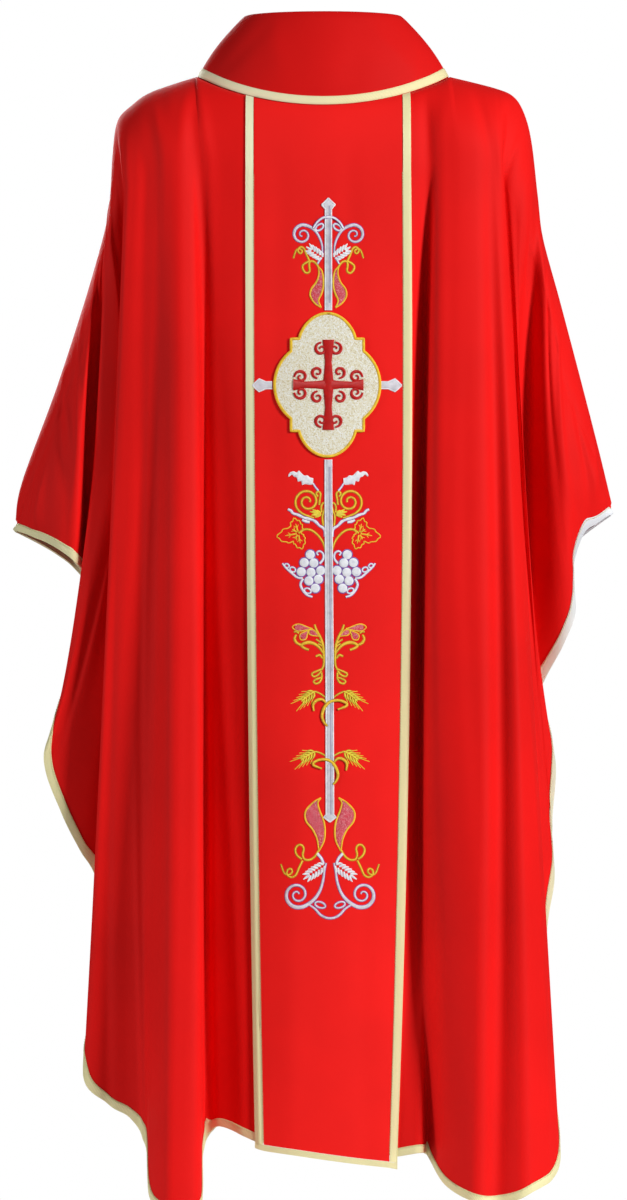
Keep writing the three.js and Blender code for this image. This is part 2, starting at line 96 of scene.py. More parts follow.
# Each row is a fold line that hangs from the top line. top is its place along that line from the middle
# of the neck. x and depth are its place at the chest, half way down and at its end, and depth is counted
# outwards from the plane of the shoulders.
LINE_COLUMNS = ("top", "chest_x", "chest_depth", "mid_x", "mid_depth", "end_x", "end_depth", "end_z")
BACK_LINES = [
    # left sleeve, from the cuff
    (-770, -379, 4, -380, 6, -383, 8, -550),
    (-690, -361, 30, -361, 42, -358, 40, -558),
    (-600, -335, 46, -338, 60, -338, 58, -567),
    (-510, -310, 56, -317, 72, -320, 68, -578),
    (-430, -290, 62, -299, 78, -306, 66, -590),
    # narrow roll that flares out into the side edge
    (-382, -279, 56, -290, 52, -293, 38, -612),
    (-366, -275, 55, -276, 48, -288, 42, -682),
    (-354, -272, 60, -283, 58, -305, 46, -732),
    (-342, -269, 68, -286, 73, -329, 58, -780),
    (-328, -264, 74, -258, 78, -343, 58, -832),
    (-312, -260, 73, -256, 68, -322, 62, -893),
    (-298, -255, 73, -250, 64, -300, 62, -937),
    (-284, -250, 72, -242, 58, -280, 58, -973),
    (-272, -245, 74, -238, 56, -262, 60, -1060),
    # broad left fold
    (-262, -247, 86, -268, 92, -295, 94, -1199),
    (-245, -234, 94, -258, 102, -266, 104, -1240),
    (-230, -222, 97, -238, 106, -238, 110, -1257),
    (-214, -210, 99, -223, 110, -219, 122, -1288),
    # round fold beside the centre
    (-200, -200, 102, -209, 119, -214, 150, -1347),
    (-187, -188, 108, -191, 143, -195, 188, -1362),
    (-174, -176, 106, -170, 146, -172, 190, -1364),
    (-162, -164, 104, -153, 134, -153, 172, -1358),
    (-150, -151, 102, -151, 82, -152, 92, -1300),
    (-134, -137, 102, -137, 92, -135, 95, -1268),
    # centre, under the orphrey and its bands
    (-93, -100, 108, -97, 108, -88, 122, -1284),
    (-83, -90, 109, -87, 110, -78, 124, -1286),
    (-38, -45, 112, -45, 117, -40, 129, -1290),
    (7, 0, 113, 0, 119, -3, 131, -1294),
    (52, 45, 112, 45, 117, 36, 129, -1298),
    (95, 88, 110, 86, 111, 72, 124, -1301),
    (105, 98, 109, 96, 108, 82, 120, -1302),
    # deep valley and broad right fold
    (114, 110, 105, 104, 92, 97, 126, -1299),
    (123, 121, 101, 111, 86, 111, 128, -1297),
    (134, 132, 102, 120, 127, 119, 101, -1303),
    (150, 152, 105, 142, 142, 139, 142, -1334),
    (172, 175, 102, 184, 146, 172, 178, -1351),
    (186, 190, 96, 204, 129, 202, 168, -1354),
    (199, 200, 92, 226, 134, 238, 178, -1342),
    (214, 208, 86, 243, 98, 276, 124, -1308),
    # layer behind it, down to the right side edge
    (230, 206, 74, 234, 62, 262, 84, -1190),
    (250, 213, 72, 236, 54, 262, 56, -1044),
    (270, 219, 72, 241, 56, 272, 42, -973),
    (288, 226, 70, 239, 54, 269, 36, -912),
    (304, 233, 68, 236, 52, 274, 31, -836),
    (322, 241, 62, 233, 42, 263, 22, -784),
    (345, 249, 54, 243, 28, 256, 14, -746),
    # right sleeve, to the cuff
    (390, 261, 60, 262, 58, 284, 28, -689),
    (450, 273, 58, 278, 64, 298, 30, -649),
    (530, 291, 52, 296, 54, 295, 26, -600),
    (620, 314, 38, 317, 42, 308, 28, -556),
    (685, 330, 22, 331, 26, 327, 20, -541),
    (745, 343, 5, 344, 8, 345, 10, -530),
]
FRONT_LINES = [
    # left sleeve and side edge
    (-770, -379, 4, -380, 6, -382, 8, -552),
    (-690, -360, 28, -359, 40, -355, 40, -566),
    (-600, -334, 44, -335, 58, -332, 58, -580),
    (-510, -308, 56, -312, 70, -312, 66, -596),
    (-420, -285, 64, -290, 78, -296, 62, -620),
    (-370, -272, 66, -277, 70, -284, 48, -680),
    (-330, -264, 72, -268, 72, -292, 52, -770),
    (-300, -256, 78, -266, 84, -284, 66, -860),
    (-280, -248, 80, -256, 78, -262, 60, -960),
    (-262, -242, 84, -262, 96, -276, 84, -1080),
    # hanging folds
    (-242, -230, 92, -248, 116, -262, 120, -1180),
    (-220, -212, 97, -222, 110, -226, 128, -1215),
    (-196, -194, 101, -196, 120, -204, 150, -1228),
    (-172, -172, 104, -168, 136, -172, 172, -1236),
    (-146, -146, 106, -140, 122, -138, 138, -1240),
    (-112, -112, 112, -106, 120, -102, 132, -1244),
    (-74, -76, 118, -72, 136, -66, 160, -1248),
    (-36, -40, 120, -36, 128, -34, 140, -1250),
    (0, -6, 122, -4, 132, -4, 150, -1252),
    (30, 26, 121, 28, 130, 26, 142, -1252),
    (62, 58, 119, 58, 138, 56, 160, -1251),
    (98, 94, 114, 92, 122, 90, 136, -1248),
    (132, 130, 108, 126, 122, 126, 136, -1244),
    (158, 152, 105, 152, 138, 158, 174, -1240),
    (182, 172, 103, 180, 124, 190, 156, -1234),
    (206, 190, 99, 204, 110, 214, 130, -1222),
    (228, 208, 94, 226, 114, 246, 124, -1190),
    # right side edge and sleeve
    (248, 222, 86, 240, 94, 256, 88, -1100),
    (265, 230, 80, 238, 76, 244, 60, -1000),
    (285, 238, 78, 242, 80, 252, 62, -900),
    (310, 244, 72, 246, 72, 256, 52, -800),
    (350, 252, 66, 254, 66, 258, 46, -710),
    (400, 262, 62, 266, 74, 268, 58, -640),
    (480, 278, 56, 283, 68, 282, 62, -600),
    (560, 298, 46, 300, 56, 297, 52, -575),
    (640, 318, 34, 319, 42, 312, 36, -556),
    (745, 343, 5, 344, 8, 344, 10, -532),
]

# Soft creases. line is the fold line a crease follows and drift how many lines it wanders over its
# length. start and finish are its ends, -1 on the top line and 1 on the lower edge. depth is how far it
# stands out, or in where it is negative, and width is half of its breadth.
CREASE_COLUMNS = ("line", "drift", "start", "finish", "depth", "width")
BACK_CREASES = [
    # left sleeve
    (0.8, 0.3, -0.2, 0.9, -2.4, 9),
    (1.6, -0.3, 0.0, 1.3, 2.2, 12),
    (2.5, 0.4, -0.5, 0.8, -2.6, 11),
    (3.4, 0.5, -0.8, 1.3, 2.0, 10),
    (4.4, 0.3, -0.7, 1.1, -3.6, 8),
    (5.2, 0.2, -0.4, 1.2, 1.8, 6),
    (2.0, 1.6, -0.9, 0.7, 1.6, 6),
    (3.9, 1.9, -0.9, 0.8, -1.8, 6),
    (6.1, 2.4, -0.9, 0.5, 1.7, 6),
    # narrow roll and its flare
    (7.2, 0.8, 0.25, 1.1, -2.0, 7),
    (8.6, 0.5, 0.35, 1.3, 2.4, 9),
    (9.5, -0.6, 0.45, 1.05, -2.6, 8),
    (10.6, 0.3, 0.2, 0.9, 1.6, 7),
    (12.2, 0.5, 0.1, 0.9, -2.2, 7),
    # broad left fold
    (11.2, 3.6, -0.8, 0.5, -1.5, 7),
    (14.5, 0.5, -0.6, 0.6, 2.0, 8),
    (15.3, -0.4, 0.15, 1.3, -2.4, 9),
    (16.2, 0.4, -0.3, 0.75, -1.8, 8),
    (16.8, -0.3, 0.5, 1.3, 1.8, 7),
    # round fold
    (17.6, 0.4, -0.7, 0.4, 2.2, 9),
    (18.8, 0.5, -0.5, 0.55, -1.8, 9),
    (19.6, 0.3, 0.3, 1.3, -1.6, 8),
    (20.3, -0.6, -0.75, 0.5, 2.4, 10),
    (21.2, 0.5, -0.6, 0.35, -2.2, 9),
    (22.4, 0.4, -0.65, 0.45, 1.8, 9),
    (22.6, 0.0, 0.45, 1.3, -3.2, 7),
    (23.3, 0.1, 0.2, 1.3, 2.6, 8),
    # centre
    (25.4, 0.2, -0.3, 0.7, -0.9, 12),
    (26.3, -0.2, 0.2, 1.3, 1.0, 14),
    (27.6, 0.3, -0.4, 0.35, -0.9, 11),
    (28.3, -0.2, 0.45, 1.3, -1.0, 13),
    # valley and broad right fold
    (31.6, 0.3, -0.7, 0.3, -1.6, 8),
    (33.2, 0.5, -0.6, 0.45, 1.8, 9),
    (34.6, 0.4, 0.1, 0.95, -1.4, 9),
    (35.3, -0.3, 0.5, 1.3, 1.5, 10),
    (36.1, 0.5, -0.7, 0.4, -1.8, 8),
    (37.3, 0.3, 0.3, 1.3, 1.3, 8),
    (38.2, 0.4, -0.5, 0.5, 1.6, 7),
    (41.8, -3.4, -0.8, 0.4, -1.5, 7),
    # layer behind and the side edge
    (40.4, 0.4, 0.0, 0.9, -1.8, 8),
    (42.2, -0.5, 0.3, 1.2, 1.8, 8),
    (43.8, 0.4, -0.3, 0.6, -1.8, 7),
    (44.6, -0.4, 0.5, 1.2, 1.6, 7),
    # right sleeve
    (46.5, 0.4, -0.7, 0.9, -3.0, 9),
    (47.6, -0.3, -0.5, 1.3, 2.2, 10),
    (48.5, 0.4, -0.2, 1.1, -2.6, 9),
    (49.4, -0.3, -0.6, 0.9, 2.0, 10),
    (50.4, 0.3, 0.0, 1.3, -1.8, 8),
]
FRONT_CREASES = [
    (1.4, 0.3, -0.3, 1.0, -2.4, 10),
    (2.6, 0.3, -0.6, 1.2, 2.2, 11),
    (3.7, -0.3, -0.5, 0.9, -2.6, 10),
    (5.5, 0.4, 0.0, 1.2, 2.0, 8),
    (7.4, 0.4, 0.2, 1.0, -2.0, 8),
    (9.3, 0.4, -0.5, 0.8, 2.0, 9),
    (10.6, -0.3, 0.2, 1.3, -2.2, 9),
    (11.8, 0.3, -0.6, 0.6, 2.0, 10),
    (13.3, -0.4, 0.1, 1.2, -1.8, 10),
    (14.6, 0.4, -0.7, 0.5, -2.0, 11),
    (15.7, 0.3, 0.3, 1.3, 1.8, 11),
    (17.2, -0.3, -0.6, 0.7, 1.6, 12),
    (18.6, 0.3, 0.2, 1.3, -1.6, 11),
    (20.4, 0.4, -0.6, 0.5, -1.8, 11),
    (21.6, -0.3, 0.3, 1.2, 1.8, 10),
    (23.2, 0.4, -0.5, 0.6, 2.2, 10),
    (24.5, -0.3, 0.2, 1.3, -1.8, 9),
    (26.3, 0.4, -0.3, 0.8, 1.8, 9),
    (28.4, 0.3, 0.1, 1.1, -2.0, 8),
    (30.5, -0.4, -0.3, 0.9, 2.0, 8),
    (32.4, 0.3, -0.6, 1.0, -2.6, 9),
    (33.6, 0.3, -0.4, 1.2, 2.2, 10),
    (34.7, -0.3, 0.0, 1.3, -2.0, 9),
]

# Fold lines of the back between which the centre column and its bands lie
LINE_LEFT_BAND = 24
LINE_RIGHT_BAND = 29
ORPHREY_LEFT_DROP = 1
ORPHREY_RIGHT_DROP = 9
BAND_HEM_HEIGHT = 7.5
BAND_INSET = 0.03
ORPHREY_TOP = -0.88

# Fineness of the cloth's grids, and of the tables of distances that are kept for each panel
COLUMN_STEP = 6
ROLL_ROWS = 14
FALL_ROWS = 118
PLACES_PER_LINE = 8
PLACES_PER_HEIGHT = 30

# Small steps, in fold lines and in heights, by which the cloth's slope and its lower edge are measured
ACROSS_STEP = 0.02
DOWN_STEP = 0.004
EDGE_REACH = 0.5
EDGE_RISE = 0.02

# How far a crease wanders to and fro, and how fast it fades at its start, its finish and the top line
WANDER = 0.25
WANDER_RATE = 5
FADE_IN = 3
FADE_OUT = 2.4
TOP_FADE = 4


def mix(a, b, share):
    return a + (b - a) * share


def unit(vectors):
    """The same directions, one unit long."""
    return vectors / np.linalg.norm(vectors, axis=-1, keepdims=True)


def distances(points):
    """How far along a line each of its points lies."""
    return np.concatenate([[0], np.cumsum(np.linalg.norm(np.diff(points, axis=0), axis=-1))])


def read_grid(table, first, second):
    """The values of a table at places along its first and its second side, between its entries too."""
    first = np.clip(first, 0, table.shape[0] - 1.001)
    second = np.clip(second, 0, table.shape[1] - 1.001)
    i, j = first.astype(int), second.astype(int)
    u, v = first - i, second - j
    if table.ndim == 3:
        u, v = u[..., None], v[..., None]
    near = mix(table[i, j], table[i + 1, j], u)
    far = mix(table[i, j + 1], table[i + 1, j + 1], u)
    return mix(near, far, v)


def smooth_between(a, b, c, d, t):
    """A smooth value between b and c, with a and d as their outer neighbours."""
    return b + 0.5 * t * (c - a + t * (2 * a - 5 * b + 4 * c - d + t * (3 * (b - c) + d - a)))


def smooth_rows(rows, at):
    """The rows of a table, read smoothly at places between them."""
    last = len(rows) - 1
    first = np.clip(np.floor(at).astype(int), 0, last - 1)
    four = [rows[np.clip(first + k, 0, last)] for k in (-1, 0, 1, 2)]
    return smooth_between(*four, (at - first)[..., None])


def ease(value):
    value = np.clip(value, 0, 1)
    return value * value * (3 - 2 * value)


def on_shoulder(points, distance):
    """The x and z of places at a distance along a shoulder line."""
    starts = distances(points)
    first = np.clip(np.searchsorted(starts, distance, side="right") - 1, 0, len(points) - 2)
    share = np.clip((distance - starts[first]) / (starts[first + 1] - starts[first]), 0, 1)
    return smooth_rows(points, first + share)


class Panel:
    """One side of the garment, as fold lines that hang from its top line. side is the sign of its Y."""

    def __init__(self, side, lines, neck_depth, neck_drop, creases):
        self.side = side
        self.lines = np.array(lines, float)
        self.last = len(lines) - 1
        self.neck_depth = neck_depth
        self.neck_drop = neck_drop
        self.creases = creases
        self.measure()

    def top_point(self, place):
        """The x, depth and z of the top line: on the neckline, or out on the shoulder and arm."""
        share = np.clip(1 - (place / NECK_HALF_WIDTH) ** 2, 0, 1)
        beyond = np.maximum(np.abs(place) - NECK_HALF_WIDTH, 0)
        left = on_shoulder(LEFT_SHOULDER, beyond)
        right = on_shoulder(RIGHT_SHOULDER, beyond)
        out = np.where((place < 0)[..., None], left, right)
        on_neck = np.abs(place) < NECK_HALF_WIDTH
        x = np.where(on_neck, NECK_CENTRE_X + place, out[..., 0])
        z = np.where(on_neck, -self.neck_drop * share**NECK_CURVE, out[..., 1])
        return x, self.neck_depth * np.sqrt(share), z

    def plain_point(self, at, t):
        """A point of the outer face without its creases, in millimetres. t is -1 on the top line, 0 where
        the cloth has turned over the shoulder, 1 on the lower edge."""
        at, t = np.broadcast_arrays(np.asarray(at, float), np.asarray(t, float))
        line = dict(zip(LINE_COLUMNS, np.moveaxis(smooth_rows(self.lines, at), -1, 0)))
        top_x, top_depth, top_z = self.top_point(line["top"])
        roll = np.minimum(ROLL_HEIGHT, ROLL_SHARE * (top_z - line["end_z"]))
        turn = (np.minimum(t, 0) + 1) * math.pi / 2
        lower = np.maximum(t, 0)
        start, middle, end = (1 - lower) * (1 - 2 * lower), 4 * lower * (1 - lower), lower * (2 * lower - 1)
        fall_x = start * line["chest_x"] + middle * line["mid_x"] + end * line["end_x"]
        fall_depth = start * line["chest_depth"] + middle * line["mid_depth"] + end * line["end_depth"]
        over = t < 0
        x = np.where(over, mix(top_x, line["chest_x"], 1 - np.cos(turn)), fall_x)
        depth = np.where(over, mix(top_depth, line["chest_depth"], np.sin(turn)), fall_depth)
        z = np.where(over, top_z - roll * (1 - np.cos(turn)), mix(top_z - roll, line["end_z"], lower))
        return np.stack([x, self.side * (depth + GAP / 2), z], axis=-1)

    def normal(self, at, t):
        """The outward normal of the outer face."""
        margin = 3 * ACROSS_STEP
        at, t = np.broadcast_arrays(np.clip(at, margin, self.last - margin), np.asarray(t, float))
        across = self.plain_point(at + ACROSS_STEP, t) - self.plain_point(at - ACROSS_STEP, t)
        down = self.plain_point(at, t + DOWN_STEP) - self.plain_point(at, t - DOWN_STEP)
        return unit(np.cross(across, down) * self.side)

    def measure(self):
        """Keeps how far each place lies across and down the cloth, for laying out creases and weave."""
        at = np.linspace(0, self.last, self.last * PLACES_PER_LINE + 1)
        t = np.linspace(-1, 1, 2 * PLACES_PER_HEIGHT + 1)
        points = self.plain_point(at[None, :], t[:, None])
        across = np.linalg.norm(np.diff(points, axis=1), axis=-1)
        down = np.linalg.norm(np.diff(points, axis=0), axis=-1)
        self.across = np.pad(np.cumsum(across, axis=1), ((0, 0), (1, 0)))
        self.down = np.pad(np.cumsum(down, axis=0), ((1, 0), (0, 0)))

    def read(self, table, at, t):
        """A measured table at places of the cloth."""
        at, t = np.broadcast_arrays(np.asarray(at, float), np.asarray(t, float))
        return read_grid(table, (t + 1) * PLACES_PER_HEIGHT, at * PLACES_PER_LINE)

    def relief(self, at, t):
        """How far the creases lift the cloth, in millimetres."""
        at, t = np.broadcast_arrays(np.asarray(at, float), np.asarray(t, float))
        place = self.read(self.across, at, t)
        total = np.zeros(at.shape)
        strength = bpy.context.scene.chasuble_cloth.crease_strength
        for row in self.creases:
            crease = dict(zip(CREASE_COLUMNS, row))
            share = (t - crease["start"]) / (crease["finish"] - crease["start"])
            wander = WANDER * np.sin(WANDER_RATE * share + crease["line"])
            line = crease["line"] + crease["drift"] * np.clip(share, 0, 1) + wander
            off = (place - self.read(self.across, np.clip(line, 0, self.last), t)) / crease["width"]
            fade = ease(share * FADE_IN) * ease((1 - share) * FADE_OUT)
            total += crease["depth"] * fade * np.exp(-off * off)
        return strength * total * ease((t + 1) * TOP_FADE)

    def point(self, at, t, height=0.0):
        """A point on the creased cloth, at a height over its outer face."""
        lift = self.relief(at, t) + height
        return self.plain_point(at, t) + self.normal(at, t) * lift[..., None]

    def edge_direction(self, at):
        """The direction of the lower edge."""
        right = np.minimum(at + EDGE_REACH, self.last)
        left = np.maximum(at - EDGE_REACH, 0)
        return unit(self.plain_point(right, 1) - self.plain_point(left, 1))

    def rim(self, at):
        """Where a binding's upper rim runs, so that it is as wide across a slanting edge as a level one."""
        end = self.plain_point(at, 1)
        fall = np.linalg.norm(end - self.plain_point(at, 0), axis=-1)
        down = unit(end - self.plain_point(at, 1 - EDGE_RISE))
        slant = np.linalg.norm(np.cross(down, self.edge_direction(at)), axis=-1)
        share = BINDING_WIDTH / np.maximum(slant, LEAST_SLANT) / fall
        return 1 - np.minimum(share, LONGEST_BINDING)

    def columns(self, first, last):
        """Places along the cloth about one column step apart, with every fold line among them."""
        heights = np.array((-0.5, 0, 0.5, 1))
        places = []
        for line in range(first, last):
            widths = self.read(self.across, line + 1, heights) - self.read(self.across, line, heights)
            count = max(2, math.ceil(widths.max() / COLUMN_STEP))
            places.extend(line + np.arange(count) / count)
        return np.array([*places, float(last)])

    def rows(self, at):
        """The heights of the points in each column, from the top line to the lower edge."""
        roll = np.tile(np.arange(ROLL_ROWS) / ROLL_ROWS - 1, (len(at), 1))
        fall = self.rim(at)[:, None] * np.linspace(0, 1, FALL_ROWS)
        return np.concatenate([roll, fall, np.ones((len(at), 1))], axis=1)


def number_property(name, description, default, **limits):
    return FloatProperty(name=name, description=description, default=default, **limits)


class ChasubleCloth(bpy.types.PropertyGroup):
    """How the cloth falls."""

    crease_strength: number_property("Crease strength", "How strongly creases show", 1.0, min=0, max=2)


def colour_property(name, description, default):
    return FloatVectorProperty(
        name=name, description=description, default=default, subtype="COLOR", size=3, min=0, max=1
    )


class ChasubleColours(bpy.types.PropertyGroup):
    """Colours of the cloths and threads, as linear values."""

    cloth: colour_property("Cloth", "Red of the body and collar", (0.76, 0.0065, 0.0055))
    orphrey: colour_property("Centre column", "Red of the centre column", (0.86, 0.012, 0.010))
    binding: colour_property("Binding", "Pale gold of the bindings and bands", (0.88, 0.82, 0.44))
    gold: colour_property("Gold thread", "Gold and olive satin stitch", (0.88, 0.56, 0.03))
    silver: colour_property("Silver thread", "Silver satin stitch", (0.70, 0.69, 0.75))
    white: colour_property("White thread", "White satin stitch", (0.83, 0.85, 0.95))
    # The grey thread is painted shade: a line down the staff.
    grey: colour_property("Grey thread", "Seam down the staff", (0.47, 0.46, 0.58))
    olive: colour_property("Olive thread", "Under-stitching of the gold", (0.42, 0.27, 0.012))
    pink: colour_property("Pink thread", "Pink filling stitch", (0.66, 0.055, 0.09))
    violet: colour_property("Violet thread", "Violet-blue outline stitch", (0.20, 0.10, 0.42))
    leaf: colour_property("Yellow thread", "Yellow leaves and wheat", (0.85, 0.68, 0.05))
    scarlet: colour_property("Scarlet thread", "Cross on the medallion", (0.52, 0.004, 0.003))
    glitter: colour_property("Glitter cloth", "Cream cloth of the medallion", (0.84, 0.80, 0.62))


class ChasubleStage(bpy.types.PropertyGroup):
    """Camera and light."""

    distance: number_property("Camera distance", "From the back to the camera", 8.0, unit="LENGTH")
    picture_height: number_property("Picture height", "What the picture takes in", 1.44, unit="LENGTH")
    key: number_property("Key light", "Power of the soft light from the right", 292.0)
    fill: number_property("Fill light", "Power of the soft light from the left", 128.0)
    ambient: number_property("Ambient", "Strength of the light all round", 0.08)


PROPERTY_GROUPS = {
    "chasuble_cloth": ChasubleCloth,
    "chasuble_colours": ChasubleColours,
    "chasuble_stage": ChasubleStage,
}


# Meshes
def outward(points, faces):
    """Arrays of quads and triangles round a closed body, all turned outwards."""
    halves = [part[:, [0, k, k + 1]] for part in faces for k in range(1, part.shape[1] - 1)]
    corners = np.concatenate(halves)
    a, b, c = (points[corners[:, k]] - points[0] for k in range(3))
    inside_out = np.einsum("ij,ij->", a, np.cross(b, c)) < 0
    return [part[:, ::-1] for part in faces] if inside_out else faces


def new_piece(name, points, faces, uv, smooth_angle=50):
    """A mesh object from points in millimetres and arrays of faces, with its faces turned outwards."""
    mesh = bpy.data.meshes.new(name)
    polygons = [face for part in outward(points, faces) for face in part.tolist()]
    mesh.from_pydata((points * MM).tolist(), [], polygons)
    corner = np.zeros(len(mesh.loops), np.int32)
    mesh.loops.foreach_get("vertex_index", corner)
    mesh.uv_layers.new(name="cloth").data.foreach_set("uv", (uv[corner] * MM).ravel())
    mesh.validate()
    piece = bpy.data.objects.new(name, mesh)
    bpy.context.scene.collection.objects.link(piece)
    bpy.ops.object.select_all(action="DESELECT")
    piece.select_set(True)
    bpy.context.view_layer.objects.active = piece
    bpy.ops.object.shade_smooth_by_angle(angle=math.radians(smooth_angle))
    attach(piece, "root")
    return piece


def grid_faces(columns, rows, start=0):
    """The quads of a grid of points, counted column by column."""
    a = start + np.arange(columns - 1)[:, None] * rows + np.arange(rows - 1)
    return np.stack([a, a + rows, a + rows + 1, a + 1], axis=-1).reshape(-1, 4)


def wall(name, outer, inner, uv):
    """A closed wall between two grids of points."""
    columns, rows = outer.shape[:2]
    count = columns * rows
    index = np.arange(count).reshape(columns, rows)
    faces = [grid_faces(columns, rows), grid_faces(columns, rows, count)[:, ::-1]]
    for line in (index[::-1, 0], index[:, -1], index[0], index[-1, ::-1]):
        faces.append(np.stack([line[1:], line[1:] + count, line[:-1] + count, line[:-1]], axis=-1))
    points = np.concatenate([outer.reshape(-1, 3), inner.reshape(-1, 3)])
    return new_piece(name, points, faces, np.concatenate([uv, uv]))


def ring_faces(count, size, closed=False):
    """The quads between rings of points, and the caps of both ends unless the last ring meets the first."""
    ring = np.arange(size)
    after = (ring + 1) % size
    here = np.arange(count if closed else count - 1)[:, None] * size
    there = (here + size) % (count * size)
    quads = np.stack([here + ring, here + after, there + after, there + ring], -1).reshape(-1, 4)
    if closed:
        return [quads]
    last, middle = (count - 1) * size, count * size
    first_cap = np.stack([after, ring, np.full(size, middle)], -1)
    last_cap = np.stack([last + ring, last + after, np.full(size, middle + 1)], -1)
    return [quads, first_cap, last_cap]


def loft(name, rings, uv, closed):
    """A closed skin through rings of points, closed on itself or capped at both ends."""
    points = rings.reshape(-1, 3)
    if not closed:
        points = np.concatenate([points, rings[[0, -1]].mean(axis=1)])
        uv = np.concatenate([uv, uv[:1], uv[-1:]])
    return new_piece(name, points, ring_faces(*rings.shape[:2], closed), uv)


# Materials: spacing of the weave, ribs and satin threads in millimetres, and colours of the smallest flecks:
# the pink and white ones are painted glints, the gold one is the glitter's own colour
WEAVE_PITCH = 1.1
RIB_PITCH = 1.5
RIB_SLANT = 0.8
SATIN_PITCH = 0.55
GLITTER_AND_PAINTED_GLINTS = {"pink": (0.95, 0.62, 0.66), "gold": (0.66, 0.57, 0.34), "white": (0.90, 0.90, 0.84)}

# Painted light on the braid: an almost white painted highlight down the right edge, and a lighter, warmer
# patch of
# painted light at the upper left: x and z in metres, from where the change sets in to where it is whole
BRAID_PAINTED_HIGHLIGHT = {"colour": (0.80, 0.82, 0.86), "x": (0.20, 0.30), "z": (-1.13, -0.60), "share": 1.0}
BRAID_PAINTED_LIGHT = {"colour": (0.96, 0.94, 0.64), "x": (0.02, -0.08), "z": (-0.75, -0.10), "share": 0.8}


class Finish:
    """A material and the few node steps that its cloths and threads share."""

    def __init__(self, name, colour, roughness, sheen=0.0, specular=0.3):
        self.material = bpy.data.materials.new(name)
        self.material.use_nodes = True
        self.nodes = self.material.node_tree.nodes
        self.links = self.material.node_tree.links
        self.shader = self.nodes["Principled BSDF"]
        self.material.diffuse_color = (*colour, 1)
        self.shader.inputs["Roughness"].default_value = roughness
        self.shader.inputs["Sheen Weight"].default_value = sheen
        self.shader.inputs["Sheen Roughness"].default_value = 0.4
        self.shader.inputs["Sheen Tint"].default_value = (1.0, 0.75, 0.72, 1)
        self.shader.inputs["Specular IOR Level"].default_value = specular
        self.height = None

    def add(self, kind, **settings):
        """A node, with settings that are its own values or those of its sockets."""
        node = self.nodes.new(kind)
        for name, value in settings.items():
            if hasattr(node, name):
                setattr(node, name, value)
            else:
                node.inputs[name].default_value = value
        return node

    def math(self, operation, a, b=None):
        """One step of arithmetic on sockets and numbers."""
        node = self.add("ShaderNodeMath", operation=operation)
        for socket, value in zip(node.inputs, (a, b)):
            if value is None:
                continue
            if isinstance(value, (int, float)):
                socket.default_value = value
            else:
                self.links.new(value, socket)
        return node.outputs[0]

    def split(self, value):
        """The three parts of a place or a colour."""
        node = self.add("ShaderNodeSeparateXYZ")
        self.links.new(value, node.inputs[0])
        return node.outputs

    def place(self):
        """The three coordinates of a point in the frame."""
        return self.split(self.add("ShaderNodeTexCoord").outputs["Object"])

    def cloth_map(self):
        """Across and down the cloth, in metres."""
        return self.split(self.add("ShaderNodeUVMap", uv_map="cloth").outputs[0])[:2]

    def texture(self, kind, **settings):
        """A texture that is laid out by the point's place in the frame."""
        node = self.add(kind, **settings)
        self.links.new(self.add("ShaderNodeTexCoord").outputs["Object"], node.inputs["Vector"])
        return node.outputs

    def noise(self, scale, detail=2.0):
        """Soft unevenness."""
        return self.texture("ShaderNodeTexNoise", Scale=scale, Detail=detail)["Fac"]

    def ramp(self, value, low, high):
        """A value spread from low and high to 0 and 1."""
        node = self.add("ShaderNodeMapRange")
        self.links.new(value, node.inputs["Value"])
        node.inputs["From Min"].default_value = low
        node.inputs["From Max"].default_value = high
        return node.outputs[0]

    def blend(self, share, a, b):
        """Colour a where share is 0 and b where it is 1."""
        node = self.add("ShaderNodeMix", data_type="RGBA")
        self.links.new(share, node.inputs[0])
        for socket, value in ((node.inputs[6], a), (node.inputs[7], b)):
            if isinstance(value, tuple):
                socket.default_value = (*value, 1)
            else:
                self.links.new(value, socket)
        return node.outputs[2]

    def waves(self, along, pitch):
        """Even waves along a distance, pitch in millimetres."""
        return self.math("SINE", self.math("MULTIPLY", along, 2 * math.pi / (pitch * MM)))

    def bump(self, value, distance, strength=1.0):
        """Adds a layer of relief, distance in millimetres."""
        node = self.add("ShaderNodeBump", Strength=strength, Distance=distance * MM)
        self.links.new(value, node.inputs["Height"])
        if self.height is not None:
            self.links.new(self.height, node.inputs["Normal"])
        self.height = node.outputs[0]

    def done(self, colour):
        """The material, with its colour and relief joined to its shader."""
        self.links.new(colour, self.shader.inputs["Base Color"])
        if self.height is not None:
            self.links.new(self.height, self.shader.inputs["Normal"])
        return self.material


def shade(colour, factor):
    """A lighter or darker tone of a colour."""
    return tuple(min(1.0, c * factor) for c in colour)


def made_once(name):
    """A material that is there already, so that pieces of one finish share it."""
    return bpy.data.materials.get(name)


def red_cloth(name, colour):
    """Plain woven red cloth: fine weave with painted shade in its hollows, threads of uneven thickness, a
    slight satin sheen.
    """
    if made_once(name):
        return made_once(name)
    finish = Finish(name, colour, roughness=0.68, sheen=0.02, specular=0.10)
    across, down = finish.cloth_map()
    weave = finish.math("MULTIPLY", finish.waves(across, WEAVE_PITCH), finish.waves(down, WEAVE_PITCH))
    finish.bump(weave, distance=0.05, strength=0.35)
    finish.bump(finish.noise(900, detail=1.0), distance=0.12, strength=0.35)
    tone = finish.ramp(finish.noise(5.5, detail=3.0), 0.3, 0.7)
    body = finish.blend(tone, shade(colour, 0.90), shade(colour, 1.08))
    fine = finish.ramp(finish.noise(420), 0.25, 0.75)
    # Painted shade of the weave: darker in its hollows and lighter on its crests, in a share that wavers at
    # random.
    thread = finish.blend(finish.ramp(weave, -1, 1), shade(colour, 0.93), shade(colour, 1.05))
    return finish.done(finish.blend(finish.math("MULTIPLY", fine, 0.35), body, thread))


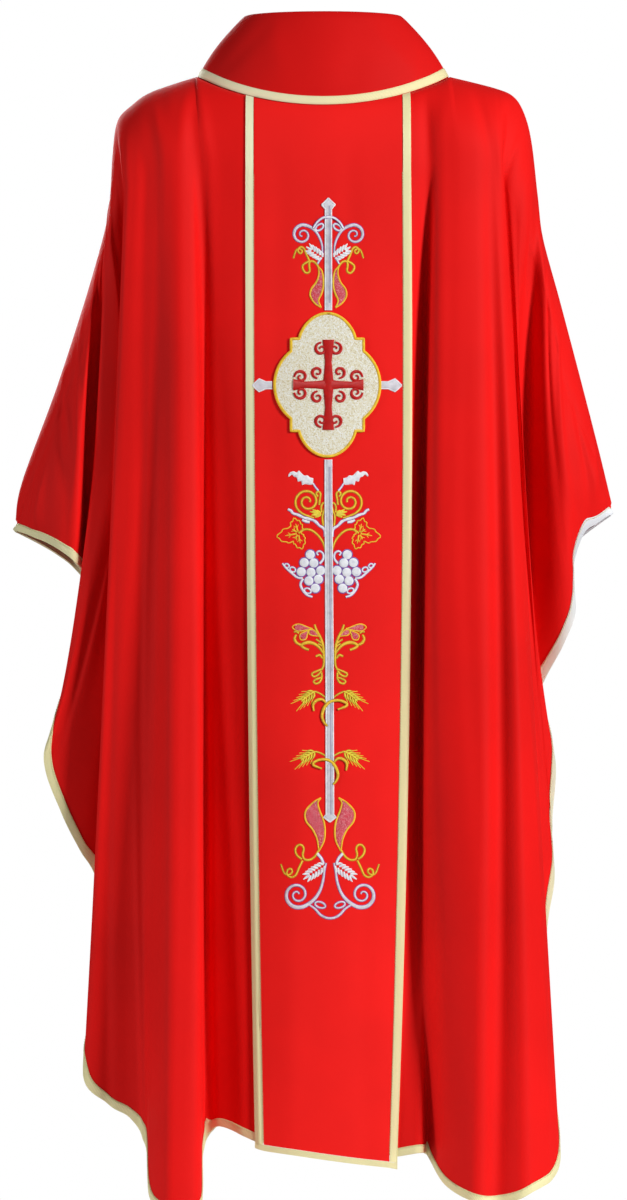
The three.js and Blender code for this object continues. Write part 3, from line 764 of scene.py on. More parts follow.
def paint_braid_light(finish, ribbed, light_patch):
    """The braid with a patch of painted light, in another colour, over one corner of the garment."""
    x, _, z = finish.place()
    corner = finish.math("MULTIPLY", finish.ramp(x, *light_patch["x"]), finish.ramp(z, *light_patch["z"]))
    return finish.blend(finish.math("MULTIPLY", corner, light_patch["share"]), ribbed, light_patch["colour"])


def gold_braid():
    """Pale gold ribbed braid, with painted shade between its ribs, a lighter, warmer patch of painted light
    at the upper left and an almost white painted highlight down the right edge.
    """
    name = "gold braid"
    if made_once(name):
        return made_once(name)
    colour = tuple(bpy.context.scene.chasuble_colours.binding)
    finish = Finish(name, colour, roughness=0.5, sheen=0.15, specular=0.4)
    across, along = finish.cloth_map()
    slant = finish.math("ADD", across, finish.math("MULTIPLY", along, RIB_SLANT))
    ribs = finish.waves(slant, RIB_PITCH)
    finish.bump(ribs, distance=0.16, strength=0.7)
    finish.bump(finish.noise(1500, detail=1.0), distance=0.08, strength=0.4)
    # Painted shade of the ribs: darker in their hollows, lighter on their crests.
    ribbed = finish.blend(finish.ramp(ribs, -1, 1), shade(colour, 0.84), shade(colour, 1.07))
    # Painted light over two corners of the garment: a lighter patch and an almost white highlight.
    return finish.done(paint_braid_light(finish, paint_braid_light(finish, ribbed, BRAID_PAINTED_HIGHLIGHT), BRAID_PAINTED_LIGHT))


def satin_stitch(name, colour, painted_glints=0.0):
    """Satin stitch: threads laid side by side across a shape, a little uneven in tone, painted lighter on
    each thread and darker between them, and, where asked for, with painted glints.
    """
    if made_once(name):
        return made_once(name)
    finish = Finish(name, colour, roughness=0.45, specular=0.3)
    along, _ = finish.cloth_map()
    threads = finish.waves(along, SATIN_PITCH)
    finish.bump(threads, distance=0.10, strength=0.6)
    tone = finish.ramp(finish.noise(160), 0.3, 0.7)
    body = finish.blend(tone, shade(colour, 0.86), shade(colour, 1.16))
    # Painted light and shade along the threads: lighter on each thread, darker between them.
    painted_thread_light = finish.blend(finish.ramp(threads, -1, 1), shade(colour, 0.88), shade(colour, 1.12))
    sewn = finish.blend(finish.math("MULTIPLY", tone, 0.4), body, painted_thread_light)
    # Painted glints: small pale spots, as glitter in the thread would catch the light.
    if painted_glints:
        glints = finish.ramp(finish.noise(900, detail=1.0), 0.52, 0.6)
        sewn = finish.blend(finish.math("MULTIPLY", glints, painted_glints), sewn, GLITTER_AND_PAINTED_GLINTS["pink"])
    return finish.done(sewn)


def glitter_cloth():
    """Cream cloth covered in fine glitter: small flakes of uneven tone, tilt and gloss, some gold of their
    own and some painted white as glints.
    """
    name = "glitter cloth"
    if made_once(name):
        return made_once(name)
    colour = tuple(bpy.context.scene.chasuble_colours.glitter)
    finish = Finish(name, colour, roughness=0.42, specular=0.5)
    flakes = finish.texture("ShaderNodeTexVoronoi", Scale=900.0)
    first, second, third = finish.split(flakes["Color"])
    finish.bump(second, distance=0.35, strength=0.7)
    gold = finish.blend(finish.ramp(first, 0.72, 0.8), shade(colour, 0.97), GLITTER_AND_PAINTED_GLINTS["gold"])
    # Painted glints: some flakes painted white, as though they caught the light.
    white = finish.blend(finish.ramp(third, 0.66, 0.74), gold, GLITTER_AND_PAINTED_GLINTS["white"])
    finish.links.new(finish.ramp(first, -0.6, 2.2), finish.shader.inputs["Roughness"])
    return finish.done(white)


def dress(piece, material):
    """Gives a piece its finish, in its one material slot."""
    piece.data.materials.clear()
    piece.data.materials.append(material)
    return piece


# The garment. main() makes its two panels when their settings are there.
BACK = None
FRONT = None


def cloth_uv(panel, at, t):
    """How far places lie across and down a panel's cloth."""
    return np.stack([panel.read(panel.across, at, t), panel.read(panel.down, at, t)], axis=-1)


def panel_piece(panel, name):
    """A panel's cloth from its top line to its lower edge, as a thin wall."""
    at = panel.columns(0, panel.last)
    t = panel.rows(at)
    grid_at = np.broadcast_to(at[:, None], t.shape)
    outer = panel.point(grid_at, t)
    inner = panel.point(grid_at, t, -CLOTH)
    return wall(name, outer, inner, cloth_uv(panel, grid_at, t).reshape(-1, 2))


def layer_piece(name, at, t, drop, low, high):
    """A layer on the back's outer face. drop is how far each point hangs below the lower edge."""
    grid_at = np.broadcast_to(at[:, None], t.shape)
    hang = np.zeros(t.shape + (3,))
    hang[..., 2] = -drop
    outer = BACK.point(grid_at, t, high) + hang
    inner = BACK.point(grid_at, t, low) + hang
    uv = cloth_uv(BACK, grid_at, t) + hang[..., [0, 2]] * (1, -1)
    return wall(name, outer, inner, uv.reshape(-1, 2))


def orphrey_drop(at):
    """How far the centre column's foot hangs below the hem behind it."""
    share = (at - LINE_LEFT_BAND) / (LINE_RIGHT_BAND + 1 - LINE_LEFT_BAND)
    return mix(ORPHREY_LEFT_DROP, ORPHREY_RIGHT_DROP, share)


def full_length(at):
    """The heights of a layer that runs from under the collar's binding to the centre column's foot."""
    roll = np.linspace(ORPHREY_TOP, 0, ROLL_ROWS, endpoint=False)
    fall = np.linspace(0, 1, FALL_ROWS)
    t = np.tile(np.concatenate([roll, fall, [1.0]]), (len(at), 1))
    drop = np.zeros(t.shape)
    drop[:, -1] = orphrey_drop(at)
    return t, drop


def edge_binding(panel, name, first, last):
    """A folded binding over a panel's lower edge: a leaf outside, a turn under the edge, a leaf inside."""
    at = panel.columns(first, last)
    rim = panel.rim(at)
    near, far = BINDING_EASE, BINDING_EASE + TRIM
    edge = panel.point(at, np.ones(len(at)))
    out = panel.normal(at, 1)
    down = unit(-panel.side * np.cross(panel.edge_direction(at), out))

    def leaf(share, height):
        return panel.point(at, mix(rim, 1, share), height)

    def under(height, distance):
        return edge + out * height + down * distance

    low, turn = far * 0.7, far * 0.8
    ring = [
        leaf(0, near), leaf(0, low), leaf(0.12, far), leaf(0.5, far + BINDING_SWELL), leaf(0.9, far),
        under(turn, GAP + TRIM * 0.6), under(-CLOTH / 2, GAP + TRIM), under(-CLOTH - turn, GAP + TRIM * 0.6),
        leaf(0.9, -CLOTH - far), leaf(0.5, -CLOTH - far - BINDING_SWELL), leaf(0.12, -CLOTH - far),
        leaf(0, -CLOTH - low), leaf(0, -CLOTH - near), under(-CLOTH - near, GAP), under(near, GAP),
    ]
    rings = np.stack(ring, axis=1)
    across = np.linspace(0, 2 * BINDING_WIDTH, len(ring))
    uv = np.stack(np.broadcast_arrays(across[None, :], distances(edge)[:, None]), axis=-1)
    return loft(name, rings, uv.reshape(-1, 2), closed=False)


def collar_point(turn, height, inward):
    """A point of the collar's outer face, turn being its angle round the neck, height 0 at the foot."""
    turn, height, inward = np.broadcast_arrays(*(np.asarray(v, float) for v in (turn, height, inward)))
    c, s = np.cos(turn), np.sin(turn)
    front = s > 0
    neck_depth = np.where(front, FRONT.neck_depth, BACK.neck_depth)
    neck_drop = np.where(front, FRONT.neck_drop, BACK.neck_drop)
    foot_z = -neck_drop * (s * s) ** NECK_CURVE
    top_y = np.where(front, COLLAR_TOP["front"], COLLAR_TOP["back"])
    bulge = COLLAR_BULGE * np.sin(math.pi * height)
    width = mix(NECK_HALF_WIDTH - COLLAR_INSET, COLLAR_TOP["half_width"], height) - inward + bulge
    depth = mix(neck_depth - COLLAR_INSET, top_y, height) - inward + bulge
    return np.stack([NECK_CENTRE_X + c * width, s * depth, mix(foot_z, COLLAR_TOP["z"], height)], axis=-1)


# Needlework on the centre column. Places are given as u, counted outwards from the staff's axis, and z,
# counted down from the shoulders, in millimetres. AXIS holds the z and x of the slightly wandering axis.
AXIS = np.array([(-1020, 1.2), (-900, 1.0), (-700, 0.5), (-500, -0.8), (-150, -0.8)])
STROKE_STEP = 1.8

# Section of a satin strip: the place across it and the height there, both as shares. A narrow strip is lower,
# down to the least share, and one of full breadth has its whole height.
SATIN_FULL_BREADTH = 2.2
SATIN_LEAST_SHARE = 0.25
SATIN = np.array([
    (0.0, 0.05), (0.03, 0.5), (0.2, 0.88), (0.5, 1.0), (0.8, 0.88), (0.97, 0.5), (1.0, 0.05), (0.5, 0.05),
])

# The medallion: its middle and half sizes, the steps between its lobes, how full its arches are, and the
# heights between which its plate lies
MEDALLION = {"x": -2, "z": -378, "half_width": 64, "half_height": 87}
MEDALLION_STEP = {"inner": 34, "outer": 44, "upper": 56, "lower": 41}
ARCH_ROUNDNESS = 0.68
PLATE = {"low": 0.5, "high": 1.9}


def scroll(centre, outer, inner, start, turns, bend=1.0):
    """Places on a spiral that winds inwards round a centre. start is in degrees."""
    share = np.linspace(0, 1, max(6, math.ceil(abs(turns) * 9)))
    angle = math.radians(start) + 2 * math.pi * turns * share
    radius = mix(outer, inner, share**bend)
    return [(centre[0] + r * math.cos(a), centre[1] + r * math.sin(a)) for r, a in zip(radius, angle)]


def oval(centre, wide, high, lean=0.0):
    """Places on a closed oval that leans by some degrees."""
    angle = np.linspace(0, 2 * math.pi, 13)
    c, s = math.cos(math.radians(lean)), math.sin(math.radians(lean))
    x, z = wide * np.cos(angle), high * np.sin(angle)
    return list(zip(centre[0] + c * x - s * z, centre[1] + s * x + c * z))


BOTH = (-1, 1)
THREAD_SLOTS = {
    "white": "silver_thread", "silver": "silver_thread", "gold": "gold_thread", "leaf": "gold_thread",
    "olive": "gold_thread", "pink": "pink_thread", "violet": "violet_thread",
}
# Share of painted glints in the pink thread
PINK_PAINTED_GLINTS = 0.35

# Every stroke lies on a wider and flatter one of another thread
UNDER_STITCH = 1.1
UNDER_THREAD = {"white": "violet", "silver": "violet", "gold": "olive"}
STITCH_RISE = 0.9
UNDER_RISE = 0.4

# Strokes of satin stitch. widths run along the stroke, sides are those on which it is sewn, and lift is how
# far it is raised over the column's cloth.
STROKE_COLUMNS = ("thread", "widths", "sides", "lift", "places")
STROKES = [
    # head of the cross: ring over the staff, side scrolls, tendrils
    ("white", (2.0, 2.4, 2.0), (1,), 1.1,
     [(-18, -190), (-13.5, -183), (-7, -178), (0, -176.8), (7, -178), (13.5, -183), (18, -190)]),
    ("white", (2.0, 2.2, 2.0), BOTH, 0, oval((10.8, -189), 5.4, 3.2, -35)),
    ("silver", (1.4, 2.0, 2.6, 3.6, 3.4, 2.6, 2.2, 1.8, 1.4), BOTH, 0,
     [(7, -220), (7.6, -211), (10.4, -202), (16, -193), *scroll((31, -198), 12.6, 1.6, 128, -1.6)]),
    ("gold", (1.8,), BOTH, 0,
     [(11.5, -238), (14, -233.5), (18.5, -229.8), (22.6, -230.6), (23, -236), (22.4, -241.5), (26, -244),
      (30, -240.5), (30.6, -234.6), (23, -229.4)]),
    ("gold", (1.8, 1.8, 1.2), BOTH, 0,
     [(22.8, -229.5), (26.2, -222), (29, -215), (33.2, -212.6), (36.6, -216.5), (34, -220.6),
      (31.4, -218), (34, -215), (38.6, -216.6), (42, -226)]),
    ("white", (2.4, 1.6), BOTH, 0, [(8.6, -225), (10.4, -228), (13, -233)]),
    # below the medallion: leaf stems, gold loops and scrolls, twisted sprigs
    ("white", (1.6, 2.0), BOTH, 0, [(18.4, -496), (15.6, -500.6), (12, -505)]),
    ("gold", (1.8,), BOTH, 0,
     [(12.6, -512), (14.8, -508.6), (12.4, -505.8), (9.6, -508.6), (10.4, -515), (11.2, -522)]),
    ("gold", (1.7,), BOTH, 0,
     [(8.4, -531), (8.8, -524), (6.2, -519.8), (3.6, -521.6), (5.2, -529), (7.4, -536), (6.4, -547)]),
    ("gold", (1.4, 2.0, 2.2, 2.0, 1.8), BOTH, 0,
     [(17.5, -537.8), *scroll((25.4, -518), 15.6, 3.0, -66, 1.72)]),
    ("white", (3.0, 2.4, 3.2, 2.4, 3.6, 2.6, 3.6, 2.6, 3.4, 2.6, 3.0, 2.4), BOTH, 0,
     [(4.2, -560), (5.4, -551), (11, -547), (16.4, -541.6), (23, -539), (30, -537.2), (37, -533.8),
      (42.6, -532.2), (45, -529), (48.6, -527.4)]),
    ("white", (2.4, 3.4, 2.2), BOTH, 0, [(22.6, -542.8), (27.4, -541.8), (31.6, -540)]),
    ("gold", (1.6, 2.0), BOTH, 0,
     [(3.8, -577), (7, -567), (13, -558.4), (21, -552.4), (29.4, -551.6), (36, -556)]),
    # tendrils round the grapes
    ("white", (2.6, 2.2, 1.8), BOTH, 0,
     [(11, -592.4), (6.6, -586.6), (7, -580.4), (11, -577.4), (14.6, -579.4), (12.6, -582.4)]),
    ("white", (2.6, 2.4, 1.8), BOTH, 0, [(31.5, -610), (38, -609), (45, -603.4), (52, -597), (55.6, -592)]),
    ("white", (1.8,), BOTH, 0, oval((43.4, -599.6), 3.6, 2.8, 25)),
    ("white", (1.8,), BOTH, 0, oval((50.4, -595), 2.9, 2.3, 25)),
    ("white", (2.6, 2.8, 2.2), BOTH, 0,
     [(31, -610.5), (34.2, -617), (31.6, -624), (26.4, -630), (20, -632.4)]),
    ("white", (1.9,), BOTH, 0, oval((25.6, -625), 4.2, 3.0, 20)),
    # gold sprays
    ("gold", (1.6, 2.2, 2.4, 2.2, 1.6), BOTH, 0,
     [(17.6, -665.5), (15.4, -672), (11, -680.4), (7.8, -690), (6.8, -702), (6.8, -713), (9.4, -719.6)]),
    ("gold", (1.7,), BOTH, 0,
     [(9.4, -719), (16, -721.6), (21.2, -724.4), (18.8, -727.8), (13.4, -725.4), (9.6, -720.6)]),
    ("gold", (1.7,), BOTH, 0,
     [(9.6, -723), (9.6, -730), (12.6, -735), (17, -736.2), (19, -733.2), (15, -730.6), (10, -729)]),
    ("gold", (1.8, 2.4, 3.4, 2.6, 2.0), BOTH, 0,
     [(7.2, -700), (12.6, -692.6), (19.4, -688), (27, -687), (33.6, -690.4), (29.6, -694), (24.6, -695.8)]),
    ("gold", (2.0, 2.6, 1.6), BOTH, 0, [(33, -690.4), (39, -687.6), (41.8, -682.4), (39.6, -677.6)]),
    ("gold", (1.4, 2.2, 1.4), BOTH, 0, [(8.4, -706), (11.6, -702), (16.4, -703.6)]),
    ("gold", (1.8, 1.2), BOTH, 0, [(9.2, -687.4), (12, -685.6), (16, -683)]),
    ("gold", (1.8, 1.2), BOTH, 0, [(7.8, -692), (10.4, -690), (13.4, -688.6)]),
    ("gold", (1.6, 1.2), BOTH, 0, [(36.4, -676), (39.6, -674), (42.4, -674.4)]),
    ("gold", (1.6, 1.2), BOTH, 0, [(24.4, -673), (26.6, -676.8), (29.4, -679.6)]),
    # crescents and stems of the wheat
    ("gold", (1.2, 2.6, 2.8, 1.6), (-1,), 1.1,
     [(18.8, -769), (19.6, -761), (14.6, -755.8), (8.4, -755.4), (4.6, -759)]),
    ("gold", (1.2, 2.6, 2.4, 2.8, 3.0, 2.4, 1.4), (1,), 1.3,
     [(9.8, -767.2), (19, -763.6), (20.4, -760), (12, -756.4), (2, -757.4), (-5.4, -763.6), (-9, -774),
      (-7, -782), (-2.6, -787)]),
    ("gold", (1.2, 1.4), BOTH, 0, [(4.6, -753), (11, -748.4), (17.4, -745.6)]),
    ("gold", (1.2, 2.6, 2.8, 1.6), (1,), 1.1,
     [(19.6, -840), (20.4, -832), (15.8, -826.6), (9.6, -826), (5.2, -830)]),
    ("gold", (1.2, 2.6, 2.4, 2.8, 3.0, 2.4, 1.4), (-1,), 1.3,
     [(9.4, -838), (18.6, -834.4), (19.4, -831), (12, -827.4), (2, -827.6), (-5, -833), (-9.6, -843),
      (-8.6, -851), (-4, -857)]),
    ("gold", (1.2, 1.4), BOTH, 0, [(4.6, -823), (10.6, -819.6), (17, -817.6)]),
    # foot of the cross
    ("gold", (1.8,), BOTH, 0,
     [(13.7, -936), (17.5, -942.5), (24, -947.2), (30.6, -946.6), (32.6, -941), (31.4, -934),
      (34, -929.6), (38.6, -930), (41.6, -935.4), (39.4, -942), (33.6, -946.6)]),
    ("gold", (1.8, 1.8, 1.2), BOTH, 0,
     [(32.8, -948), (37.2, -957), (41, -965.4), (46.4, -968.2), (51.4, -965), (51, -959.6),
      (46.8, -958), (45.4, -961.8), (49, -965), (54.6, -963.4), (58.8, -952.5)]),
    ("white", (3.2, 2.6), BOTH, 0, [(15.4, -939.6), (10.4, -945.4), (7.6, -952)]),
    ("silver", (1.8, 2.4, 3.0, 4.0, 4.4, 3.6, 2.8, 2.4, 2.0, 1.6), BOTH, 0,
     [(4.8, -951), (6.8, -961), (8.6, -973), (13, -986), (21, -996.4),
      *scroll((39, -989), 15.8, 2.0, -112, 1.75)]),
    ("silver", (1.8, 2.6, 2.4, 2.6, 1.8), (1,), 0,
     [(-25, -1001), (-18, -1006), (-11.6, -1013), (-4, -1016.8), (4, -1016.8), (11.6, -1013),
      (18, -1006), (25, -1001.4)]),
    ("silver", (2.0,), BOTH, 0, oval((11.8, -1001.2), 6.4, 3.4, 18)),
]

# Outlined fillings: the two long edges of each bud, from its tip to its foot
BUDS = [
    ([(11.6, -237), (7.6, -242), (6, -252), (6.2, -261), (8.6, -269.4), (11.8, -277), (8.6, -285.4)],
     [(11.8, -237), (11.5, -246), (14.6, -255), (20.4, -263), (21.6, -271.4), (16.4, -280), (8.6, -285.4)]),
    ([(10.6, -873), (14.4, -879), (12, -889), (8, -899), (6, -910), (7, -924), (13.2, -937)],
     [(10.6, -873), (20, -878.6), (29, -889), (28.6, -900.6), (20.4, -911.4), (15.2, -923), (13.2, -937)]),
]

# Seed pods of the sprays: their stem end, round end and half breadth
PODS = [
    ((20, -670.6), (44.4, -668.4), 4.0),
    ((25, -672.0), (34.4, -683.4), 4.2),
    ((11.4, -679.6), (25, -672.8), 3.2),
]

# Feathered leaves: foot, tip, half breadth, number of barbs on each side
FEATHERS = [
    ((6.5, -226), (26.5, -212.4), 7.0, 5),
    ((6.0, -953), (32.0, -970.6), 7.6, 6),
]

# Middles of the grapes
GRAPES = [
    (22.2, -581.6), (29.4, -591.2), (18, -591.6), (33, -602.2), (21.4, -602.8), (9.8, -600.6),
    (24, -613), (12.6, -611), (16.4, -621.8),
]
GRAPE_RADIUS = 6.1

# Vine leaf: its stem end, the way it points in degrees, and how far its edge reaches at some angles from
# its middle lobe. Its veins are stated by the same angles.
VINE_LEAF = {"stem": (36.4, -556.2), "points": -10}
VINE_ANGLES = (-172, -128, -90, -48, 0, 45, 85, 128, 172)
VINE_REACH = (3, 10.5, 19, 11.5, 26, 12, 18.5, 10, 3)
VINE_VEINS = ((-90, 12), (-48, 8), (0, 16), (45, 9), (85, 12))

# Curled acanthus leaf: its toothed edges from the stem to the tip
ACANTHUS_TOP = [
    (18, -490), (22, -489), (25, -486.6), (29, -486.6), (32.6, -483.4), (35.5, -481), (38, -483),
    (42, -481.6), (46, -483), (48, -486),
]
ACANTHUS_FOOT = [
    (18.4, -497.4), (22, -498), (28, -497.2), (31.4, -498.2), (32.6, -493.6), (36.4, -494),
    (38, -489.4), (41.4, -488), (43.6, -485.8), (47.4, -488.4),
]

# Small yellow leaves: the stem that they share, and their tips
YELLOW_STEM = np.array((9.4, -534.6))
YELLOW_LIFT = np.array((0, 0.8))
YELLOW_TIPS = [(22.4, -530), (19.4, -527.6), (13.6, -528.2), (20.6, -534.4), (16.4, -537)]

# Ears of wheat: foot and tip of each, and how many pairs of grains it has
WHEAT = [
    ((17.4, -745.4), (33.4, -757.4)),
    ((17.0, -817.4), (34.4, -828.0)),
]
WHEAT_PAIRS = 5

# The centre column's face is measured at these x and z, starting from one fold line and a straight fall
FACE_X = np.arange(-99, 100, 3.0)
FACE_Z = np.arange(-1040, -140, 4.0)
FACE_LINE = 27.0
FACE_TOP = 136
FACE_FALL = 1150
FACE_ROUNDS = 14


def smooth_path(places, step=STROKE_STEP):
    """A smooth line through places, evenly divided, and the distance along it."""
    places = np.asarray(places, float)
    fine = smooth_rows(places, np.linspace(0, len(places) - 1, 12 * (len(places) - 1) + 1))
    lengths = distances(fine)
    s = np.linspace(0, lengths[-1], max(5, math.ceil(lengths[-1] / step) + 1))
    return np.stack([np.interp(s, lengths, fine[:, k]) for k in (0, 1)], axis=-1), s


class ColumnFace:
    """The outer face of the centre column, found by x and z, so that plates and threads lie on it."""

    def __init__(self):
        x, z = np.meshgrid(FACE_X, FACE_Z, indexing="ij")
        at, t, step = np.full(x.shape, FACE_LINE), -(z + FACE_TOP) / FACE_FALL, 1e-3
        for _ in range(FACE_ROUNDS):
            here = BACK.plain_point(at, t)
            by_at = (BACK.plain_point(at + step, t) - here) / step
            by_t = (BACK.plain_point(at, t + step) - here) / step
            off_x, off_z = x - here[..., 0], z - here[..., 2]
            share = by_at[..., 0] * by_t[..., 2] - by_t[..., 0] * by_at[..., 2]
            at = at + (off_x * by_t[..., 2] - off_z * by_t[..., 0]) / share
            at = np.clip(at, LINE_LEFT_BAND - 1, LINE_RIGHT_BAND + 2)
            t = np.clip(t + (off_z * by_at[..., 0] - off_x * by_at[..., 2]) / share, -0.5, 1)
        self.y = BACK.point(at, t, GAP + ORPHREY_CLOTH)[..., 1]
        self.out = BACK.normal(at, t)

    def spot(self, x, z, height):
        """The point at a height over the face."""
        column = (x - FACE_X[0]) / (FACE_X[1] - FACE_X[0])
        row = (z - FACE_Z[0]) / (FACE_Z[1] - FACE_Z[0])
        flat = np.stack([x, read_grid(self.y, column, row), z], axis=-1)
        return flat + read_grid(self.out, column, row) * np.broadcast_to(height, x.shape)[..., None]


def from_axis(u, z, side):
    """The x of a place that is counted from the staff's axis."""
    return np.interp(z, AXIS[:, 0], AXIS[:, 1]) + side * u


class Threads:
    """Closed bodies of one thread or cloth, joined into one piece. Places are u and z on one side."""

    def __init__(self, face):
        self.face = face
        self.points, self.quads, self.caps, self.uvs = [], [], [], []
        self.total = 0

    def body(self, rings, uv):
        """Adds a body through rings of points, capped at both ends, with its faces turned outwards."""
        points = np.concatenate([rings.reshape(-1, 3), rings[[0, -1]].mean(axis=1)])
        quads, *caps = outward(points, ring_faces(*rings.shape[:2]))
        self.points.append(points)
        self.quads.append(quads + self.total)
        self.caps.append(np.concatenate(caps) + self.total)
        self.uvs.append(np.concatenate([uv.reshape(-1, 2), uv[0, :1], uv[-1, :1]]))
        self.total += len(points)

    def strip(self, first, second, s, height, side=1, lift=0.0):
        """A satin strip between two edges, domed across. s is the distance along it."""
        flat = mix(first[:, None, :], second[:, None, :], SATIN[None, :, 0, None])
        breadth = np.hypot(*(second - first).T)
        share = np.clip(breadth / SATIN_FULL_BREADTH, SATIN_LEAST_SHARE, 1)
        domed = SATIN[None, :, 1] * (height * share)[:, None]
        x = from_axis(flat[..., 0], flat[..., 1], side)
        rings = self.face.spot(x, flat[..., 1], domed + lift)
        across = SATIN[None, :, 0] * breadth[:, None]
        self.body(rings, np.stack(np.broadcast_arrays(s[:, None], across), axis=-1))

    def stroke(self, places, widths, height=0.9, side=1, lift=0.0, straight=False):
        """A satin ribbon along a line of places."""
        if straight:
            path = np.asarray(places, float)
            s = distances(path)
        else:
            path, s = smooth_path(places)
        along = unit(np.gradient(path, axis=0))
        half = np.interp(s / s[-1], np.linspace(0, 1, len(widths)), widths)[:, None] / 2
        sideways = np.stack([-along[:, 1], along[:, 0]], axis=-1) * half
        self.strip(path - sideways, path + sideways, s, height, side, lift)

    def fill(self, first, second, height, side=1, lift=0.0, inset=0.0):
        """A filling between two edges with the same number of places."""
        share = np.linspace(inset, len(first) - 1 - inset, 8 * (len(first) - 1))
        a, b = (smooth_rows(np.asarray(edge, float), share) for edge in (first, second))
        self.strip(a, b, distances((a + b) / 2), height, side, lift)

    def disc(self, place, radius, height, side=1, lift=0.0):
        """A round domed spot of satin stitch."""
        turn = np.arange(18) * math.pi / 9
        shares = np.array([(1.0, 0.05), (1.0, 0.55), (0.82, 0.85), (0.45, 1.0)])
        u = place[0] + radius * shares[:, :1] * np.cos(turn)[None, :]
        z = place[1] + radius * shares[:, :1] * np.sin(turn)[None, :]
        x = from_axis(u, z, side)
        rings = self.face.spot(x, z, np.broadcast_to(shares[:, 1:] * height + lift, x.shape))
        self.body(rings, np.stack([u, z], axis=-1))

    def piece(self, name, smooth_angle=50):
        """All the bodies as one mesh object."""
        faces = [np.concatenate(self.quads), np.concatenate(self.caps)]
        points, uv = np.concatenate(self.points), np.concatenate(self.uvs)
        return new_piece(name, points, faces, uv, smooth_angle)


def stem(foot, tip):
    """Both ends of a stem, the way along it and the way across it."""
    foot, tip = np.array(foot), np.array(tip)
    along = unit(tip - foot)
    return foot, tip, along, np.array([-along[1], along[0]])


def pod_edges(foot, tip, breadth):
    """The two edges of a drop that is thin at its foot and round at its tip."""
    foot, tip, _, sideways = stem(foot, tip)
    share = np.linspace(0, 1, 11)[:, None]
    half = breadth * np.sin(math.pi * share**1.8) ** 0.8 + 0.2
    middle = foot + (tip - foot) * share
    return middle - sideways * half, middle + sideways * half


def vine_outline(centre, direction):
    """The toothed outline of a vine leaf with three main lobes, whose stem end is at the centre."""
    angle = np.linspace(VINE_ANGLES[0], VINE_ANGLES[-1], 87)
    reach = np.interp(angle, VINE_ANGLES, VINE_REACH) + 0.9 * np.sin(np.radians(angle * 18))
    turned = np.radians(angle + direction)
    return np.stack([centre[0] + reach * np.cos(turned), centre[1] + reach * np.sin(turned)], axis=-1)


def medallion_outline():
    """The outline of the four-lobed medallion round its middle, as x and z."""
    inner, outer = MEDALLION_STEP["inner"], MEDALLION_STEP["outer"]
    upper, lower = MEDALLION_STEP["upper"], MEDALLION_STEP["lower"]
    high, wide = MEDALLION["half_height"], MEDALLION["half_width"]
    sagitta = wide - outer
    radius = (lower**2 + sagitta**2) / (2 * sagitta)
    x = inner * np.sin(np.linspace(0, math.pi / 2, 15))
    arch = list(zip(x, upper + (high - upper) * (1 - (x / inner) ** 2) ** ARCH_ROUNDNESS))
    steps = [(x, upper) for x in np.linspace(inner, outer, 5)[1:]]
    steps += [(outer, z) for z in np.linspace(upper, lower, 6)[1:]]
    side = [(wide - radius + math.sqrt(radius**2 - z * z), z) for z in np.linspace(lower, 0, 13)[1:]]
    quarter = np.array(arch + steps + side)
    half = np.concatenate([quarter, quarter[-2::-1] * (1, -1)])
    return np.concatenate([half[:-1], half[:0:-1] * (-1, 1)])


# The collar: fineness round the neck and up both faces, the painted shade that darkens its cloth against the
# body's, where its top begins to round, the places inwards over its top and how far that rises
COLLAR_STEPS = 180
COLLAR_OUTER_ROWS = 16
COLLAR_INNER_ROWS = 12
COLLAR_ROW_HEIGHT = 6.0
COLLAR_PAINTED_SHADE = 0.84
COLLAR_ROUND_FROM = 0.94
COLLAR_ROLL = np.array([0.12, 0.3, 0.5, 0.7, 0.88])
COLLAR_RISE = 0.02
COLLAR_WRINKLES = [
    # turn, height, lean, depth, width
    (-2.45, 0.45, 0.5, -1.2, 0.10),
    (-2.05, 0.60, -0.4, 0.9, 0.12),
    (-1.30, 0.35, 0.3, -0.9, 0.14),
    (-0.85, 0.55, -0.5, 1.1, 0.11),
    (-0.45, 0.40, 0.6, -1.2, 0.10),
    (0.60, 0.50, 0.4, -1.1, 0.12),
    (1.40, 0.45, -0.3, 1.0, 0.13),
    (2.30, 0.55, 0.5, -1.1, 0.12),
]


def collar_relief(turn, height):
    """Soft slanting wrinkles of the collar, in millimetres."""
    total = np.zeros(np.broadcast(turn, height).shape)
    for middle, level, lean, depth, width in COLLAR_WRINKLES:
        off = (turn - middle - lean * (height - level)) / width
        total += depth * np.exp(-off * off) * np.exp(-(((height - level) / 0.4) ** 2))
    return total


class PanelCloth:
    """What the operators for both panels' cloths share."""

    def make(self, context, panel, name, node, flat, area):
        """One panel's cloth in place of its solid."""
        piece = panel_piece(panel, name)
        dress(piece, red_cloth("red cloth", tuple(context.scene.chasuble_colours.cloth)))
        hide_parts(node)
        return {"FINISHED"}


class CHASUBLE_OT_back_cloth(PanelCloth, bpy.types.Operator):
    """Make the back's cloth."""

    bl_idname = "chasuble.back_cloth"
    bl_label = "Make the back's cloth"

    def execute(self, context):
        return self.make(context, BACK, "back_cloth", "panel_back", (1.52, 1.36), 1.10)


class CHASUBLE_OT_front_cloth(PanelCloth, bpy.types.Operator):
    """Make the front's cloth."""

    bl_idname = "chasuble.front_cloth"
    bl_label = "Make the front's cloth"

    def execute(self, context):
        return self.make(context, FRONT, "front_cloth", "panel_front", (1.40, 1.30), 0.86)


